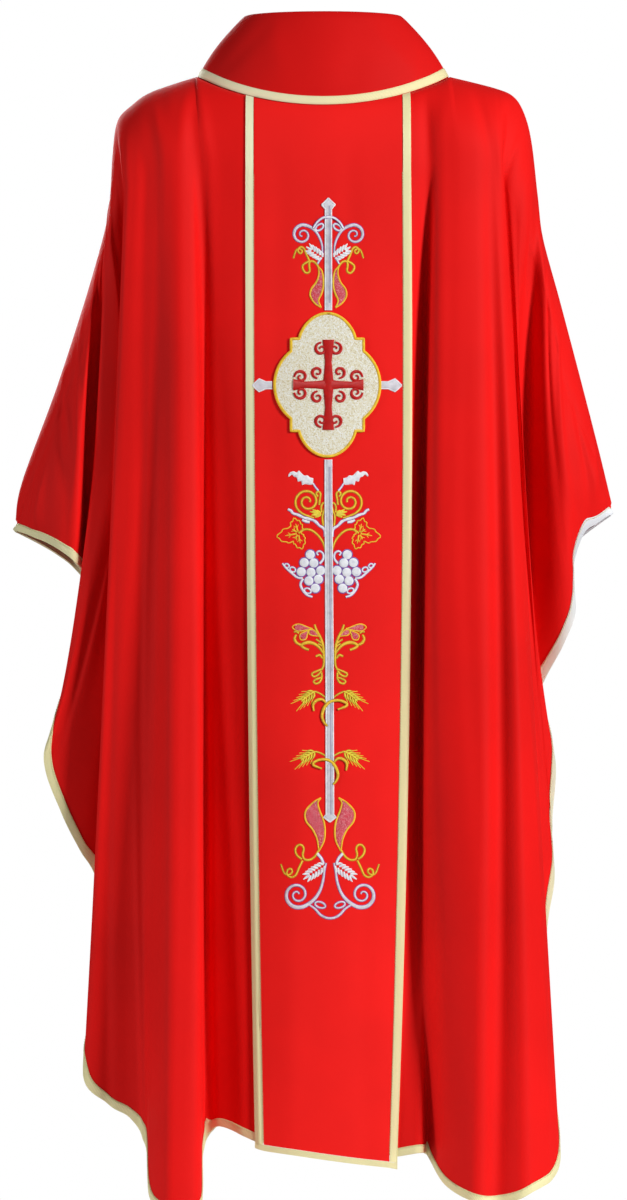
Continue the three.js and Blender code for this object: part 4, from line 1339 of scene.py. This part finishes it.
class CHASUBLE_OT_collar(bpy.types.Operator):
    """Make the standing collar and the binding round its foot."""

    bl_idname = "chasuble.collar"
    bl_label = "Make the collar"

    def execute(self, context):
        colours = context.scene.chasuble_colours
        turn = np.arange(COLLAR_STEPS) * 2 * math.pi / COLLAR_STEPS - math.pi
        upright = np.zeros(COLLAR_OUTER_ROWS)
        outer_heights = np.linspace(0, COLLAR_ROUND_FROM, COLLAR_OUTER_ROWS)
        inner_heights = np.linspace(COLLAR_ROUND_FROM, 0, COLLAR_INNER_ROWS)
        inner_in = mix(COLLAR_FOOT_WALL, COLLAR_TOP_WALL, inner_heights)
        rise = COLLAR_RISE * np.sin(math.pi * COLLAR_ROLL)
        heights = np.concatenate([outer_heights, np.ones(len(COLLAR_ROLL)), inner_heights])
        above = heights + np.concatenate([upright, rise, np.zeros(COLLAR_INNER_ROWS)])
        inward = np.concatenate([upright, COLLAR_ROLL * COLLAR_TOP_WALL, inner_in])
        lift = collar_relief(turn[:, None], heights)
        rings = collar_point(turn[:, None], above, inward - lift)
        around = turn[:, None] * NECK_HALF_WIDTH * 0.8
        up = COLLAR_ROW_HEIGHT * (np.arange(len(heights)) + 1)[None, :]
        uv = np.stack(np.broadcast_arrays(around, up), axis=-1).reshape(-1, 2)
        collar = loft("collar_cloth", rings, uv, closed=True)
        # The collar's cloth is the body's red darkened as painted shade.
        folded = red_cloth("red collar cloth", shade(colours.cloth, COLLAR_PAINTED_SHADE))
        dress(collar, folded)
        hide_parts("collar")
        binding = self.neck_binding(turn)
        return {"FINISHED"}

    def neck_binding(self, turn):
        """The gold binding that hides the seam of collar and panels."""
        rise = COLLAR_TOP["z"] - collar_point(turn, 0, 0)[:, 2]
        low, high = NECK_BINDING
        lift = collar_relief(turn, low / rise)
        rim, face = GAP + TRIM * 0.7, GAP + TRIM
        ring = [
            (low, GAP), (mix(low, high, 0.5), GAP), (high, GAP), (high, rim),
            (mix(low, high, 0.85), face), (mix(low, high, 0.15), face), (low, rim),
        ]
        rings = np.stack([collar_point(turn, up / rise, -out - lift) for up, out in ring], axis=1)
        length = np.cumsum(np.linalg.norm(np.diff(rings[:, 0], axis=0, append=rings[:1, 0]), axis=-1))
        across = np.linspace(0, 2 * (high - low), len(ring))
        uv = np.stack(np.broadcast_arrays(across[None, :], length[:, None]), axis=-1)
        binding = loft("neck_braid", rings, uv.reshape(-1, 2), closed=True)
        dress(binding, gold_braid())
        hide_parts("binding_neck")
        return binding


class CHASUBLE_OT_edges(bpy.types.Operator):
    """Make the folded bindings round the outer edges of back and front."""

    bl_idname = "chasuble.edges"
    bl_label = "Make the edge bindings"

    def execute(self, context):
        for panel, name, node, first, last in (
            (BACK, "edge_braid_back_left", "binding_back_left", 0, LINE_LEFT_BAND),
            (BACK, "edge_braid_back_right", "binding_back_right", LINE_RIGHT_BAND + 1, BACK.last),
            (FRONT, "edge_braid_front", "binding_front", 0, FRONT.last),
        ):
            piece = edge_binding(panel, name, first, last)
            dress(piece, gold_braid())
            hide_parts(node)
        return {"FINISHED"}


class CHASUBLE_OT_orphrey(bpy.types.Operator):
    """Make the centre column, its side bands and the band across its foot."""

    bl_idname = "chasuble.orphrey"
    bl_label = "Make the centre column"

    def execute(self, context):
        colours = context.scene.chasuble_colours
        inner = BACK.columns(LINE_LEFT_BAND + 1, LINE_RIGHT_BAND)
        t, drop = full_length(inner)
        cloth = layer_piece("orphrey_cloth", inner, t, drop, GAP, GAP + ORPHREY_CLOTH)
        dress(cloth, red_cloth("red column cloth", tuple(colours.orphrey)))
        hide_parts("orphrey")
        for name, node, first, low, high in (
            ("band_braid_left", "band_left", LINE_LEFT_BAND, 0, BAND_INSET),
            ("band_braid_right", "band_right", LINE_RIGHT_BAND, BAND_INSET, 0),
        ):
            at = first + np.linspace(low, 1 - high, 6)
            t, drop = full_length(at)
            band = layer_piece(name, at, t, drop, GAP, GAP + BAND_THICK)
            dress(band, gold_braid())
            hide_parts(node)
        self.foot_band()
        return {"FINISHED"}

    def foot_band(self):
        """The band across the foot, which hangs just below the column's own edge."""
        at = BACK.columns(LINE_LEFT_BAND, LINE_RIGHT_BAND + 1)
        heights = np.linspace(GAP, BAND_HEM_HEIGHT, 4)
        drop = orphrey_drop(at)[:, None] + heights[None, :]
        t = np.ones(drop.shape)
        band = layer_piece("band_braid_foot", at, t, drop, GAP, GAP + BAND_THICK)
        dress(band, gold_braid())
        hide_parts("band_hem")
        return band


# Raised satin of the staff and arms, how far it and its white edges stay inside the outline, and the grey
# line of painted shade down the staff
SATIN_RISE = 1.3
SATIN_INSET = 0.6
EDGING_RISE = 1.6
EDGING_INSET = 0.5
STAFF_PAINTED_SHADE = {"from_ends": 9, "width": 2.2, "rise": 0.35, "lift": 1.25}
SHAFT_STEP = 6.0
SHAFTS = [
    # piece, node, outline from the top as half breadth and z
    ("staff_upper_satin", "staff_upper", [(0, -154), (8.6, -162), (4.0, -167), (4.1, -288.6)]),
    ("staff_lower_satin", "staff_lower", [(4.3, -467.6), (4.8, -893), (8, -896), (0, -902)]),
]
ARMS = [
    # piece, node, side, u of its foot and of its tip
    ("arm_left_satin", "arm_left", -1, 67.2, 91),
    ("arm_right_satin", "arm_right", 1, 61.6, 88),
]
ARM_HALF, ARM_BARB = 4.6, 8.2

# The medallion's satin edge: its share of the outline, its shift sideways, width, rise and how far it sinks
# into the plate
MEDALLION_EDGE = {"share": 0.985, "shift": 0.8, "width": 3.4, "rise": 1.1, "sunk": 0.3}

# The medallion's cross: scrolls of its upper right quarter with their middle, radius, start and turns, and
# places and widths along its arms and its post
SCROLL_WIDTHS = (2.4, 4.0, 3.2, 2.2)
CROSS_SCROLLS = [(8.4, 43, 8.0, 90, -1.25), (33, 9.4, 8.0, 0, 1.25), (13, 15, 7.4, -90, 1.15)]
CROSS_ARM = ((0, 14, 28, 42), (13, 9, 8, 14))
CROSS_POST = ((54, 27, 0, -27, -54), (14, 8, 13, 8, 14))


class CHASUBLE_OT_cross(bpy.types.Operator):
    """Make the medallion, the staff and the arms of the cross."""

    bl_idname = "chasuble.cross"
    bl_label = "Make the cross"

    def execute(self, context):
        face = ColumnFace()
        self.medallion(face)
        for name, node, outline in SHAFTS:
            self.shaft(face, name, node, outline)
        for name, node, side, foot, tip in ARMS:
            self.arm(face, name, node, side, foot, tip)
        return {"FINISHED"}

    def shaft(self, face, name, node, outline):
        """An upright of silver satin between white edges."""
        satin, edging = Threads(face), Threads(face)
        half, z = np.array(outline, float).T
        heights = np.unique(np.concatenate([z, np.arange(z.min(), z.max(), SHAFT_STEP)]))[::-1]
        halves = np.interp(-heights, -z, half)
        inner = np.maximum(halves - SATIN_INSET, 0.05)
        left, right = (np.stack([sign * inner, heights], -1) for sign in BOTH)
        satin.strip(left, right, heights[0] - heights, SATIN_RISE)
        for side in BOTH:
            edge = np.stack([np.maximum(halves - EDGING_INSET, 0), heights], -1)
            edging.stroke(edge, (1.9,), EDGING_RISE, side, straight=True)
        self.sewn(satin, edging, name, node)
        # A grey line of painted shade down the staff, a little right of its middle.
        seam = Threads(face)
        ends = [(1.5, z.max() - STAFF_PAINTED_SHADE["from_ends"]), (1.6, z.min() + STAFF_PAINTED_SHADE["from_ends"])]
        seam.stroke(ends, (STAFF_PAINTED_SHADE["width"],), STAFF_PAINTED_SHADE["rise"], lift=STAFF_PAINTED_SHADE["lift"])
        piece = seam.piece(name.replace("satin", "seam"))
        grey = satin_stitch("grey satin", tuple(bpy.context.scene.chasuble_colours.grey))
        dress(piece, grey)

    def arm(self, face, name, node, side, foot, tip):
        """A short arm with a pointed, barbed end."""
        satin, edging = Threads(face), Threads(face)
        middle = MEDALLION["z"] - 0.4
        u = np.array([foot, foot + 4, tip - 16, tip - 8, tip - 4, tip])
        half = np.array([ARM_HALF, ARM_HALF, ARM_HALF, ARM_BARB, ARM_HALF, 0.0])
        inner = np.maximum(half - SATIN_INSET, 0.05)
        lower, upper = (np.stack([u, middle + sign * inner], -1) for sign in BOTH)
        satin.strip(lower, upper, u - foot, SATIN_RISE, side)
        for sign in BOTH:
            edge = np.stack([u, middle + sign * np.maximum(half - EDGING_INSET, 0)], -1)
            edging.stroke(edge, (1.7,), EDGING_RISE, side, straight=True)
        self.sewn(satin, edging, name, node)

    def sewn(self, satin, edging, name, node):
        """The satin in place of its solid, and the white edging beside it."""
        colours = bpy.context.scene.chasuble_colours
        piece = satin.piece(name)
        dress(piece, satin_stitch("silver satin", tuple(colours.silver)))
        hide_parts(node)
        edge = edging.piece(name.replace("satin", "edging"))
        dress(edge, satin_stitch("white satin", tuple(colours.white)))

    def medallion(self, face):
        """A glitter cloth plate with a gold satin edge and a plain scroll-ended cross in scarlet satin."""
        colours = bpy.context.scene.chasuble_colours
        outline = medallion_outline()
        top = [(share, 1.0) for share in (0.98, 0.9, 0.75, 0.6, 0.45, 0.3, 0.15)]
        shares = np.array([(1, 0.0), (1, 0.8), *top])
        flat = outline[None] * shares[:, :1, None] + (MEDALLION["x"], MEDALLION["z"])
        height = mix(PLATE["low"], PLATE["high"], shares[:, 1:])
        plate = Threads(face)
        rings = face.spot(flat[..., 0], flat[..., 1], np.broadcast_to(height, flat.shape[:2]))
        plate.body(rings, flat)
        piece = plate.piece("medallion_cloth", 40)
        dress(piece, glitter_cloth())
        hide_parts("medallion")
        edge = Threads(face)
        style = MEDALLION_EDGE
        middle = (MEDALLION["x"] + style["shift"], MEDALLION["z"])
        closed = np.concatenate([outline, outline[:2]]) * style["share"] + middle
        lift = PLATE["high"] - style["sunk"]
        edge.stroke(closed, (style["width"],), style["rise"], lift=lift, straight=True)
        trim = edge.piece("medallion_edge")
        dress(trim, satin_stitch("gold satin", tuple(colours.gold)))
        cross = Threads(face)
        lift = PLATE["high"] + 0.1
        middle = MEDALLION["z"]
        for side in BOTH:
            for sign in BOTH:
                for u, z, radius, start, turns in CROSS_SCROLLS:
                    wound = scroll((u, middle + z * sign), radius, 1.6, start * sign, turns * sign)
                    cross.stroke(wound, SCROLL_WIDTHS, 1.0, side, lift)
            cross.stroke([(u, middle) for u in CROSS_ARM[0]], CROSS_ARM[1], 1.2, side, lift)
        cross.stroke([(0, middle + z) for z in CROSS_POST[0]], CROSS_POST[1], 1.3, lift=lift)
        piece = cross.piece("medallion_cross")
        dress(piece, satin_stitch("scarlet satin", tuple(colours.scarlet)))


class CHASUBLE_OT_needlework(bpy.types.Operator):
    """Embroider the scrolls, leaves, buds, grapes and wheat round the cross."""

    bl_idname = "chasuble.needlework"
    bl_label = "Embroider the centre column"

    def execute(self, context):
        colours = context.scene.chasuble_colours
        face = ColumnFace()
        threads = {kind: Threads(face) for kind in THREAD_SLOTS}
        for row in STROKES:
            stroke = dict(zip(STROKE_COLUMNS, row))
            for side in stroke["sides"]:
                thread, lift = stroke["thread"], stroke["lift"]
                threads[thread].stroke(stroke["places"], stroke["widths"], STITCH_RISE, side, lift)
                under = [width + UNDER_STITCH for width in stroke["widths"]]
                threads[UNDER_THREAD[thread]].stroke(stroke["places"], under, UNDER_RISE, side, lift)
        for side in BOTH:
            self.outlined(threads, side)
            self.feathers(threads, side)
            threads["white"].fill(ACANTHUS_TOP, ACANTHUS_FOOT, 1.0, side)
            self.vine(threads, side)
            self.small_leaves(threads, side)
            self.grapes(threads, side)
            self.wheat(threads, side)
        for kind, slot in THREAD_SLOTS.items():
            piece = threads[kind].piece("needlework_" + kind)
            # Only the pink thread gets painted glints.
            painted_glints = PINK_PAINTED_GLINTS if kind == "pink" else 0.0
            dress(piece, satin_stitch(kind + " satin", tuple(getattr(colours, kind)), painted_glints))
        return {"FINISHED"}

    def outlined(self, threads, side):
        """Buds and seed pods: a pink filling inside a gold outline."""
        for first, second in BUDS:
            threads["pink"].fill(first, second, 0.7, side, inset=0.5)
            for edge in (first, second):
                threads["gold"].stroke(edge, (1.8, 2.2, 2.2, 1.8), 1.1, side)
        for foot, tip, breadth in PODS:
            first, second = pod_edges(foot, tip, breadth)
            threads["pink"].fill(first, second, 0.7, side, inset=1.4)
            outline = np.concatenate([first, second[-2::-1]])
            threads["gold"].stroke(outline, (1.5,), 1.0, side)

    def feathers(self, threads, side):
        """White leaves whose barbs are sewn one by one."""
        for foot, tip, breadth, barbs in FEATHERS:
            foot, tip, along, sideways = stem(foot, tip)
            for k in range(barbs):
                share = (k + 0.3) / barbs
                reach = 0.8 * breadth * math.sin(math.pi * mix(0.32, 0.8, share))
                for sign in BOTH:
                    root = foot + (tip - foot) * share * 0.78 + sideways * sign * 0.9
                    end = root + along * (5.5 + 2 * share) + sideways * sign * reach
                    middle = (root + end) / 2 + sideways * sign * 0.9
                    threads["white"].stroke([root, middle, end], (2.0, 3.4, 1.0), 0.8, side)
            threads["white"].stroke([foot + (tip - foot) * 0.7, tip], (2.6, 3.0, 1.2), 0.8, side)

    def vine(self, threads, side):
        """A vine leaf: its toothed outline, and veins with a pair of barbs each."""
        middle, points = np.array(VINE_LEAF["stem"]), VINE_LEAF["points"]
        threads["gold"].stroke(vine_outline(middle, points), (1.4,), STITCH_RISE, side, straight=True)
        for angle, reach in VINE_VEINS:
            turned = math.radians(points + angle)
            c, s = math.cos(turned), math.sin(turned)
            way, across = np.array([(c, s), (-s, c)])
            near, end = middle + way * 2, middle + way * reach
            half_way = (near + end) / 2
            threads["gold"].stroke([near, end], (1.8, 2.0, 0.8), 0.8, side)
            for sign in BOTH:
                barb = half_way + across * sign * 3 + way * 3
                threads["gold"].stroke([half_way, barb], (1.4, 0.7), 0.7, side)

    def small_leaves(self, threads, side):
        """Small yellow leaves that fan out from one stem."""
        for tip in np.array(YELLOW_TIPS):
            middle = (YELLOW_STEM + tip) / 2 + YELLOW_LIFT
            threads["leaf"].stroke([YELLOW_STEM, middle, tip], (1.6, 4.2, 1.0), STITCH_RISE, side)

    def grapes(self, threads, side):
        """A bunch of domed spots with violet outlines."""
        turn = np.linspace(0, 2 * math.pi, 20)
        ring = GRAPE_RADIUS * np.stack([np.cos(turn), np.sin(turn)], axis=-1)
        for place in GRAPES:
            threads["white"].disc(place, GRAPE_RADIUS - 0.6, 1.3, side)
            threads["violet"].stroke(ring + place, (1.3,), 0.8, side)

    def wheat(self, threads, side):
        """Ears of wheat: paired grains along a bent middle, with thin awns."""
        for foot, tip in WHEAT:
            foot, tip, along, sideways = stem(foot, tip)
            bent = [foot, (foot + tip) / 2 + sideways, tip]
            threads["leaf"].stroke(bent, (1.6, 2.4, 1.4), STITCH_RISE, side)
            for k in range(WHEAT_PAIRS):
                root = foot + (tip - foot) * (0.05 + 0.19 * k)
                for sign in BOTH:
                    lean = along * 6.6 + sideways * sign * (5.6 - 0.5 * k)
                    bend = root + lean * 0.5 + sideways * sign
                    awn = root + along * (12 + k) + sideways * sign * (9.5 - k)
                    grain, under = [root, bend, root + lean], [root, bend, root + lean * 1.04]
                    threads["leaf"].stroke(grain, (1.0, 2.2, 0.9), STITCH_RISE, side)
                    threads["olive"].stroke(under, (1.8, 2.9, 1.6), UNDER_RISE, side)
                    threads["gold"].stroke([root + lean * 0.9, awn], (1.2, 0.9), 0.5, side)


# Zigzag stitches: length of a zigzag, how far it swings to each side, how high its middle lies, and the
# thread's half breadth and half height
STITCH_PITCH = 3.2
STITCH_SWING = 0.8
STITCH_LIFT = 0.15
STITCH_THREAD = (0.45, 0.3)
STITCH_TONE = 0.86


class CHASUBLE_OT_stitches(bpy.types.Operator):
    """Sew the fine zigzag stitches along the bands' and bindings' inner edges."""

    bl_idname = "chasuble.stitches"
    bl_label = "Sew the stitches"

    def execute(self, context):
        lines = []
        fall = np.linspace(0, 1, 420)
        for at in (LINE_LEFT_BAND + 0.985, LINE_RIGHT_BAND + 0.015):
            places = np.full(fall.shape, at)
            face = BACK.point(places, fall, GAP + BAND_THICK)
            lines.append((face, BACK.normal(places, fall)))
        for panel, first, last in (
            (BACK, 0, LINE_LEFT_BAND), (BACK, LINE_RIGHT_BAND + 1, BACK.last), (FRONT, 0, FRONT.last),
        ):
            at = np.linspace(first + 0.1, last - 0.1, 900)
            t = mix(panel.rim(at), 1, 0.12)
            lines.append((panel.point(at, t, BINDING_EASE + TRIM), panel.normal(at, t)))
        threads = Threads(None)
        for line, out in lines:
            self.zigzag(threads, line, out)
        piece = threads.piece("braid_stitches", 60)
        colour = tuple(context.scene.chasuble_colours.binding)
        dress(piece, satin_stitch("stitching thread", shade(colour, STITCH_TONE)))
        return {"FINISHED"}

    def zigzag(self, threads, line, out):
        """A thin thread that runs to and fro along a line of points."""
        lengths = distances(line)
        s = np.arange(0, lengths[-1], STITCH_PITCH / 2)

        def at_stitches(values):
            return np.stack([np.interp(s, lengths, values[:, k]) for k in range(3)], axis=-1)

        middle, out = at_stitches(line), at_stitches(out)
        along = unit(np.gradient(middle, axis=0))
        swing = np.where(np.arange(len(s)) % 2, STITCH_SWING, -STITCH_SWING)[:, None]
        centre = middle + np.cross(along, out) * swing + out * STITCH_LIFT
        turn = math.pi / 4 + np.arange(4)[:, None] * math.pi / 2
        breadth, height = STITCH_THREAD
        ring = along[:, None] * np.cos(turn) * breadth + out[:, None] * np.sin(turn) * height
        rings = centre[:, None] + ring
        threads.body(rings, np.broadcast_to(s[:, None, None], rings.shape[:2] + (2,)))


# The stage, in metres: soft square lights with the setting that gives their power and their share of it,
# the floor, and the camera with the plane of the back that the picture's height is measured in
LIGHTS = [
    # name, place, setting, share, size
    ("key light", (3.8, -3.1, 1.25), "key", 1.0, 0.9),
    ("fill light", (-5.2, -2.0, 0.2), "fill", 1.0, 2.0),
    ("front light", (-1.4, 4.8, 1.2), "key", 0.55, 2.0),
]
LIT_MIDDLE = Vector((0, 0, -0.65))
FLOOR = {"radius": 1.15, "thickness": 0.02, "z": -1.51}
FLOOR_TONES = (0.84, 0.86, 0.88)
CAMERA = {"x": -0.0186, "z": -0.636, "back_y": -0.11, "sensor": 36, "reach": 60}


class CHASUBLE_OT_stage(bpy.types.Operator):
    """Make the pale floor, the soft studio lights and the camera at the photograph's angle."""

    bl_idname = "chasuble.stage"
    bl_label = "Make the stage"

    def execute(self, context):
        settings = context.scene.chasuble_stage
        self.floor()
        for name, place, setting, share, size in LIGHTS:
            self.light(name, place, getattr(settings, setting) * share, size)
        self.world(settings.ambient)
        self.camera(settings)
        context.scene.view_settings.view_transform = "Standard"
        return {"FINISHED"}

    def floor(self):
        """A round pale floor a hand's breadth below the hem."""
        bpy.ops.object.select_all(action="DESELECT")
        bpy.ops.mesh.primitive_cylinder_add(
            vertices=96, radius=FLOOR["radius"], depth=FLOOR["thickness"], location=(0, 0, FLOOR["z"])
        )
        floor = bpy.context.object
        floor.name = "floor"
        bpy.ops.object.transform_apply(location=True)
        dark, plain, light = ((tone, tone, tone) for tone in FLOOR_TONES)
        finish = Finish("floor paint", plain, roughness=0.7)
        grain = finish.ramp(finish.noise(3), 0.2, 0.8)
        floor.data.materials.append(finish.done(finish.blend(grain, dark, light)))

    def light(self, name, place, power, size):
        """A square soft light that faces the middle of the garment."""
        bpy.ops.object.light_add(type="AREA", location=place)
        light = bpy.context.object
        light.name = name
        light.data.energy = power
        light.data.size = size
        aim = LIT_MIDDLE - Vector(place)
        light.rotation_mode = "QUATERNION"
        light.rotation_quaternion = aim.to_track_quat("-Z", "Y")

    def world(self, ambient):
        """White all round, as bright behind the garment as a white backdrop."""
        world = bpy.data.worlds.new("studio")
        bpy.context.scene.world = world
        world.use_nodes = True
        nodes, links = world.node_tree.nodes, world.node_tree.links
        background = nodes["Background"]
        background.inputs["Color"].default_value = (1, 1, 1, 1)
        seen = nodes.new("ShaderNodeLightPath").outputs["Is Camera Ray"]
        strength = nodes.new("ShaderNodeMapRange")
        strength.inputs["To Min"].default_value = ambient
        strength.inputs["To Max"].default_value = 1.0
        links.new(seen, strength.inputs["Value"])
        links.new(strength.outputs[0], background.inputs["Strength"])

    def camera(self, settings):
        """The camera faces the back squarely, as high as the picture's middle."""
        y = CAMERA["back_y"] - settings.distance
        bpy.ops.object.camera_add(location=(CAMERA["x"], y, CAMERA["z"]))
        camera = bpy.context.object
        camera.rotation_euler = (math.pi / 2, 0, 0)
        camera.data.sensor_width = CAMERA["sensor"]
        camera.data.lens = CAMERA["sensor"] * settings.distance / settings.picture_height
        camera.data.clip_end = CAMERA["reach"]
        bpy.context.scene.camera = camera


OPERATORS = [
    CHASUBLE_OT_collar,
    CHASUBLE_OT_back_cloth,
    CHASUBLE_OT_front_cloth,
    CHASUBLE_OT_edges,
    CHASUBLE_OT_orphrey,
    CHASUBLE_OT_cross,
    CHASUBLE_OT_needlework,
    CHASUBLE_OT_stitches,
    CHASUBLE_OT_stage,
]


class CHASUBLE_PT_panel(bpy.types.Panel):
    """The steps that make the chasuble, in order."""

    bl_idname = "CHASUBLE_PT_panel"
    bl_label = "Chasuble"
    bl_space_type = "VIEW_3D"
    bl_region_type = "UI"
    bl_category = "Chasuble"

    def draw(self, context):
        for attribute, group in PROPERTY_GROUPS.items():
            box = self.layout.box()
            for name in group.__annotations__:
                box.prop(getattr(context.scene, attribute), name)
        for operator in OPERATORS:
            self.layout.operator(operator.bl_idname)


def register():
    for attribute, group in PROPERTY_GROUPS.items():
        bpy.utils.register_class(group)
        setattr(bpy.types.Scene, attribute, PointerProperty(type=group))
    for kind in (*OPERATORS, CHASUBLE_PT_panel):
        bpy.utils.register_class(kind)


def unregister():
    for kind in reversed((*OPERATORS, CHASUBLE_PT_panel)):
        bpy.utils.unregister_class(kind)
    for attribute, group in reversed(PROPERTY_GROUPS.items()):
        delattr(bpy.types.Scene, attribute)
        bpy.utils.unregister_class(group)


def run(operator):
    """Calls one of the garment's operators through bpy.ops."""
    group, name = operator.bl_idname.split(".")
    getattr(getattr(bpy.ops, group), name)()


def main():
    global BACK, FRONT
    register()
    BACK = Panel(-1, BACK_LINES, *BACK_NECK, BACK_CREASES)
    FRONT = Panel(1, FRONT_LINES, *FRONT_NECK, FRONT_CREASES)
    for operator in OPERATORS:
        run(operator)


if __name__ == "__main__":
    main()
